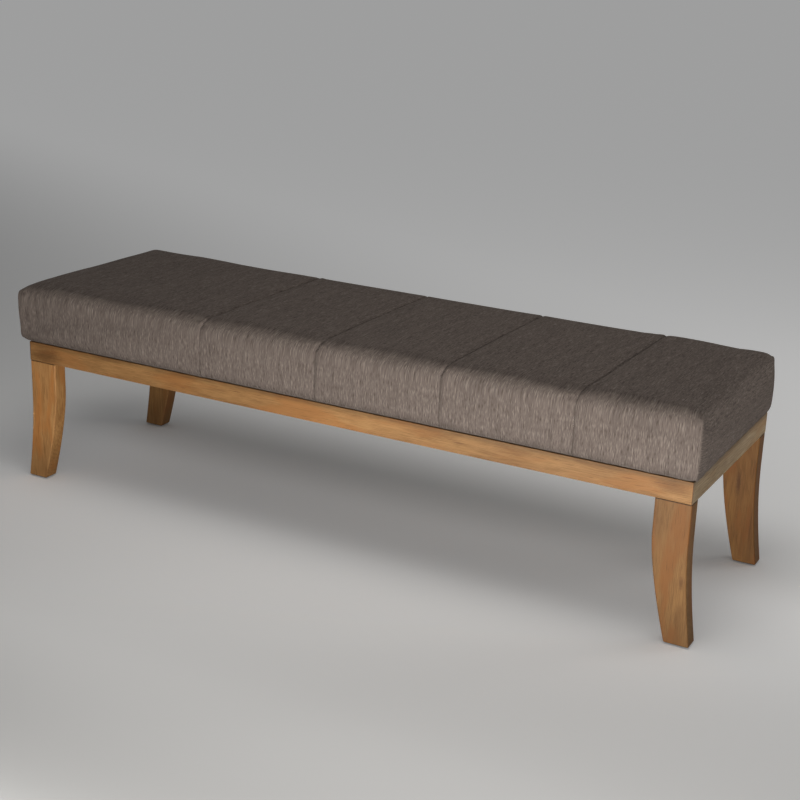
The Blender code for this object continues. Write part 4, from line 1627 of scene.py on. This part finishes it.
@dataclass
class Studio:
    """The floor, the lamps, the sky and the camera at the photograph's angle.

    The floor lights the bench with floor_tone. The camera sees it as floor_seen, with a glow added
    far off, or in front of the bench darker, in painted shade that offsets the key lamp's light there,
    with a band of painted light added just before the bench that stops short of the floor under it.
    """

    place: Point = (1.44059, -2.57983, 1.25548)
    azimuth: float = 0.495148
    elevation: float = 0.325843
    roll: float = 0.033323
    lens: float = 67.312
    shift: float = 0.003125
    floor_reach: float = 70.0
    floor_tone: Colour = (0.55, 0.55, 0.545)
    floor_seen: Colour = (1.0, 0.995, 0.985)
    # Painted shade and painted light on the floor in front of the bench.
    near_floor_painted_shade: Colour = (0.83, 0.825, 0.815)
    near_painted_light: Colour = (0.10, 0.10, 0.101)
    floor_glow: Colour = (0.175, 0.175, 0.175)
    sky: float = 0.17
    backdrop: Colour = (0.34, 0.34, 0.335)
    lamps: tuple[Lamp, ...] = (
        Lamp("key", (0.80, -1.42, 0.05), (0.70, -0.2, 0.42), 33.8, (2.4, 0.07)),
        Lamp("overhead", (0.50, -0.40, 2.30), (0.35, -0.2, 0.3), 11.8, (1.4, 1.0)),
        Lamp("end_fill", (2.50, 1.60, 0.60), (0.6, 0.1, 0.3), 9.0, (1.0, 0.6)),
    )

    def build(self) -> None:
        """Makes the stage."""
        bpy.context.scene.view_settings.view_transform = "Standard"
        self.make_camera()
        self.make_floor()
        self.make_sky()
        for lamp in self.lamps:
            lamp.hang()

    def make_camera(self) -> None:
        """Stands the camera where the photograph was taken from."""
        data = bpy.data.cameras.new("camera")
        data.lens = self.lens
        data.shift_y = self.shift
        camera = bpy.data.objects.new("camera", data)
        bpy.context.scene.collection.objects.link(camera)
        turn = Matrix.Rotation(self.azimuth, 4, "Z") @ Matrix.Rotation(math.pi / 2 - self.elevation, 4, "X")
        camera.matrix_world = Matrix.Translation(self.place) @ turn @ Matrix.Rotation(self.roll, 4, "Z")
        bpy.context.scene.camera = camera

    def make_floor(self) -> None:
        """Lays the pale floor, which the camera alone sees nearly white."""
        bpy.ops.object.select_all(action="DESELECT")
        bpy.ops.mesh.primitive_grid_add(x_subdivisions=8, y_subdivisions=8, size=self.floor_reach)
        floor = bpy.context.object
        floor.name = "studio_floor"
        graph = Graph("studio_floor")
        place = graph.place()
        cloud = graph.noise(place, (0.7, 0.7, 0.7), detail=3.0)
        tone = graph.mix(cloud.step(0.3, 0.7), self.floor_tone, times(self.floor_tone, 1.03))
        floor.data.materials.append(graph.finish(Base_Color=tone, Roughness=0.9, Specular_IOR_Level=0.1))
        graph.show(graph.node("ShaderNodeLightPath", output="Is Camera Ray"), self.floor_look(graph, place))

    def floor_look(self, graph: Graph, place: Socket) -> Socket:
        """The floor as the camera sees it: nearly white behind the bench, and grey close in front, in
        painted shade, with a band of painted light just before the bench.

        Args:
            graph: The floor's tree.
            place: The place on the floor.

        Returns:
            The shader.
        """
        side, depth = (graph.part(place, axis) for axis in "XY")
        unseen = (side + depth * 0.82).step(-2.2, -1.6, 1.0, 0.0)
        unseen = depth.step(-2.1, -1.5, 1.0, 0.0).math("MAXIMUM", unseen)
        far = (side * 0.4 + depth).step(-0.2, 2.0).math("MAXIMUM", unseen)
        # A band of painted light just in front of the bench, which stops short of the floor under it.
        close = depth.step(-0.85, -0.05) * depth.step(0.0, 0.24, 1.0, 0.0) * side.step(-1.3, -0.6)
        # Painted shade: the floor is darker in front of the bench, darkest furthest in front, near the key
        # lamp.
        look = graph.mix((side * -0.6 + depth).step(-1.0, -0.35), self.near_floor_painted_shade, self.floor_seen)
        look = graph.mix(depth.step(-1.25, -0.75), times(self.near_floor_painted_shade, 0.45), look)
        look = graph.mix(unseen, look, self.floor_seen)
        seen = graph.node("ShaderNodeBsdfDiffuse", None, {"Color": look}, "BSDF")
        levels = ((close, self.near_painted_light), (far, self.floor_glow))
        lights = [graph.mix(share, (0, 0, 0), level) for share, level in levels]
        glow = graph.node("ShaderNodeEmission", None, {"Color": graph.mix(1.0, *lights, "ADD")})
        return graph.node("ShaderNodeAddShader", None, [seen, glow])

    def make_sky(self) -> None:
        """Lights the scene evenly from all round, with a grey backdrop for the camera and for gloss."""
        graph = Graph("studio", world=True)
        seen = graph.node("ShaderNodeBackground", None, {"Color": self.backdrop})
        rays = [graph.node("ShaderNodeLightPath", output=f"Is {kind} Ray") for kind in ("Camera", "Glossy")]
        bpy.context.scene.world = graph.finish(Color=(0.98, 0.99, 1.0), Strength=self.sky)
        graph.show(rays[0].math("MAXIMUM", rays[1]), seen)


def main() -> None:
    """Builds the bench and its stage."""
    logging.basicConfig(level=logging.INFO, format="%(name)s: %(message)s", stream=sys.stdout)
    seat = SeatPad()
    ground, light, dark = (0.137, 0.109, 0.094), (0.218, 0.181, 0.156), (0.074, 0.057, 0.049)
    makers = {
        "weave": StreakedCloth(
            "taupe_weave", ground, light, dark, seams=tuple(seat.form.seams), hem=seat.form.low.z
        ),
        "wadding": Plain("white_wadding", (0.82, 0.82, 0.80), 0.0016, 0.0006, 0.95),
        "foam": Plain("cream_foam", (0.80, 0.74, 0.55), 0.0009, 0.0003, 0.9),
        "dust_cloth": Plain("black_dust_cloth", (0.018, 0.018, 0.019), 0.0007, 0.0002, 0.85, spread=0.35),
        "zinc": Plain("zinc_plate", (0.60, 0.61, 0.62), 0.0012, 0.00003, 0.36, 1.0, 0.10),
        "nylon": Plain("brown_nylon", (0.055, 0.045, 0.038), 0.0008, 0.00006, 0.5),
        "plywood": Plywood(),
        "beech_block": BEECH,
        "beech_dowel": replace(BEECH, name="beech_dowel", run=Run.ALONG_Z, seed=9),
        "beech_spline": replace(BEECH, name="beech_spline", seed=10),
        "pine": PINE,
    }
    finishes = {name: maker.make() for name, maker in makers.items()}
    Studio().build()
    LOG.info("kept nodes dressed: %d", Hardware(finishes).dress())
    # Darker patches on the front rail near both ends.
    patches = (
        Knot((-0.705, -0.225, 0.292), 0.055, 2.0, 0.55),
        Knot((-0.690, -0.225, 0.299), 0.018, 2.2, 0.55),
        Knot((0.712, -0.225, 0.301), 0.050, 2.0, 0.38),
    )
    rails = (
        Rail("front_rail", Run.ALONG_X, 1.0, (0.91, 0.91, 0.93), patches),
        Rail("back_rail", Run.ALONG_X, 2.0),
        Rail("left_rail", Run.ALONG_Y, 3.0),
        # The end rail's tone is painted light: it makes the wood greyer and cooler, as it looks in the
        # light at the bench's end.
        Rail("right_rail", Run.ALONG_Y, 4.0, (1.16, 1.62, 2.70)),
    )
    for rail in rails:
        rail.build()
    SabreLeg().build()
    seat.build(finishes)
    DustCloth().build(finishes["dust_cloth"])


if __name__ == "__main__":
    main()
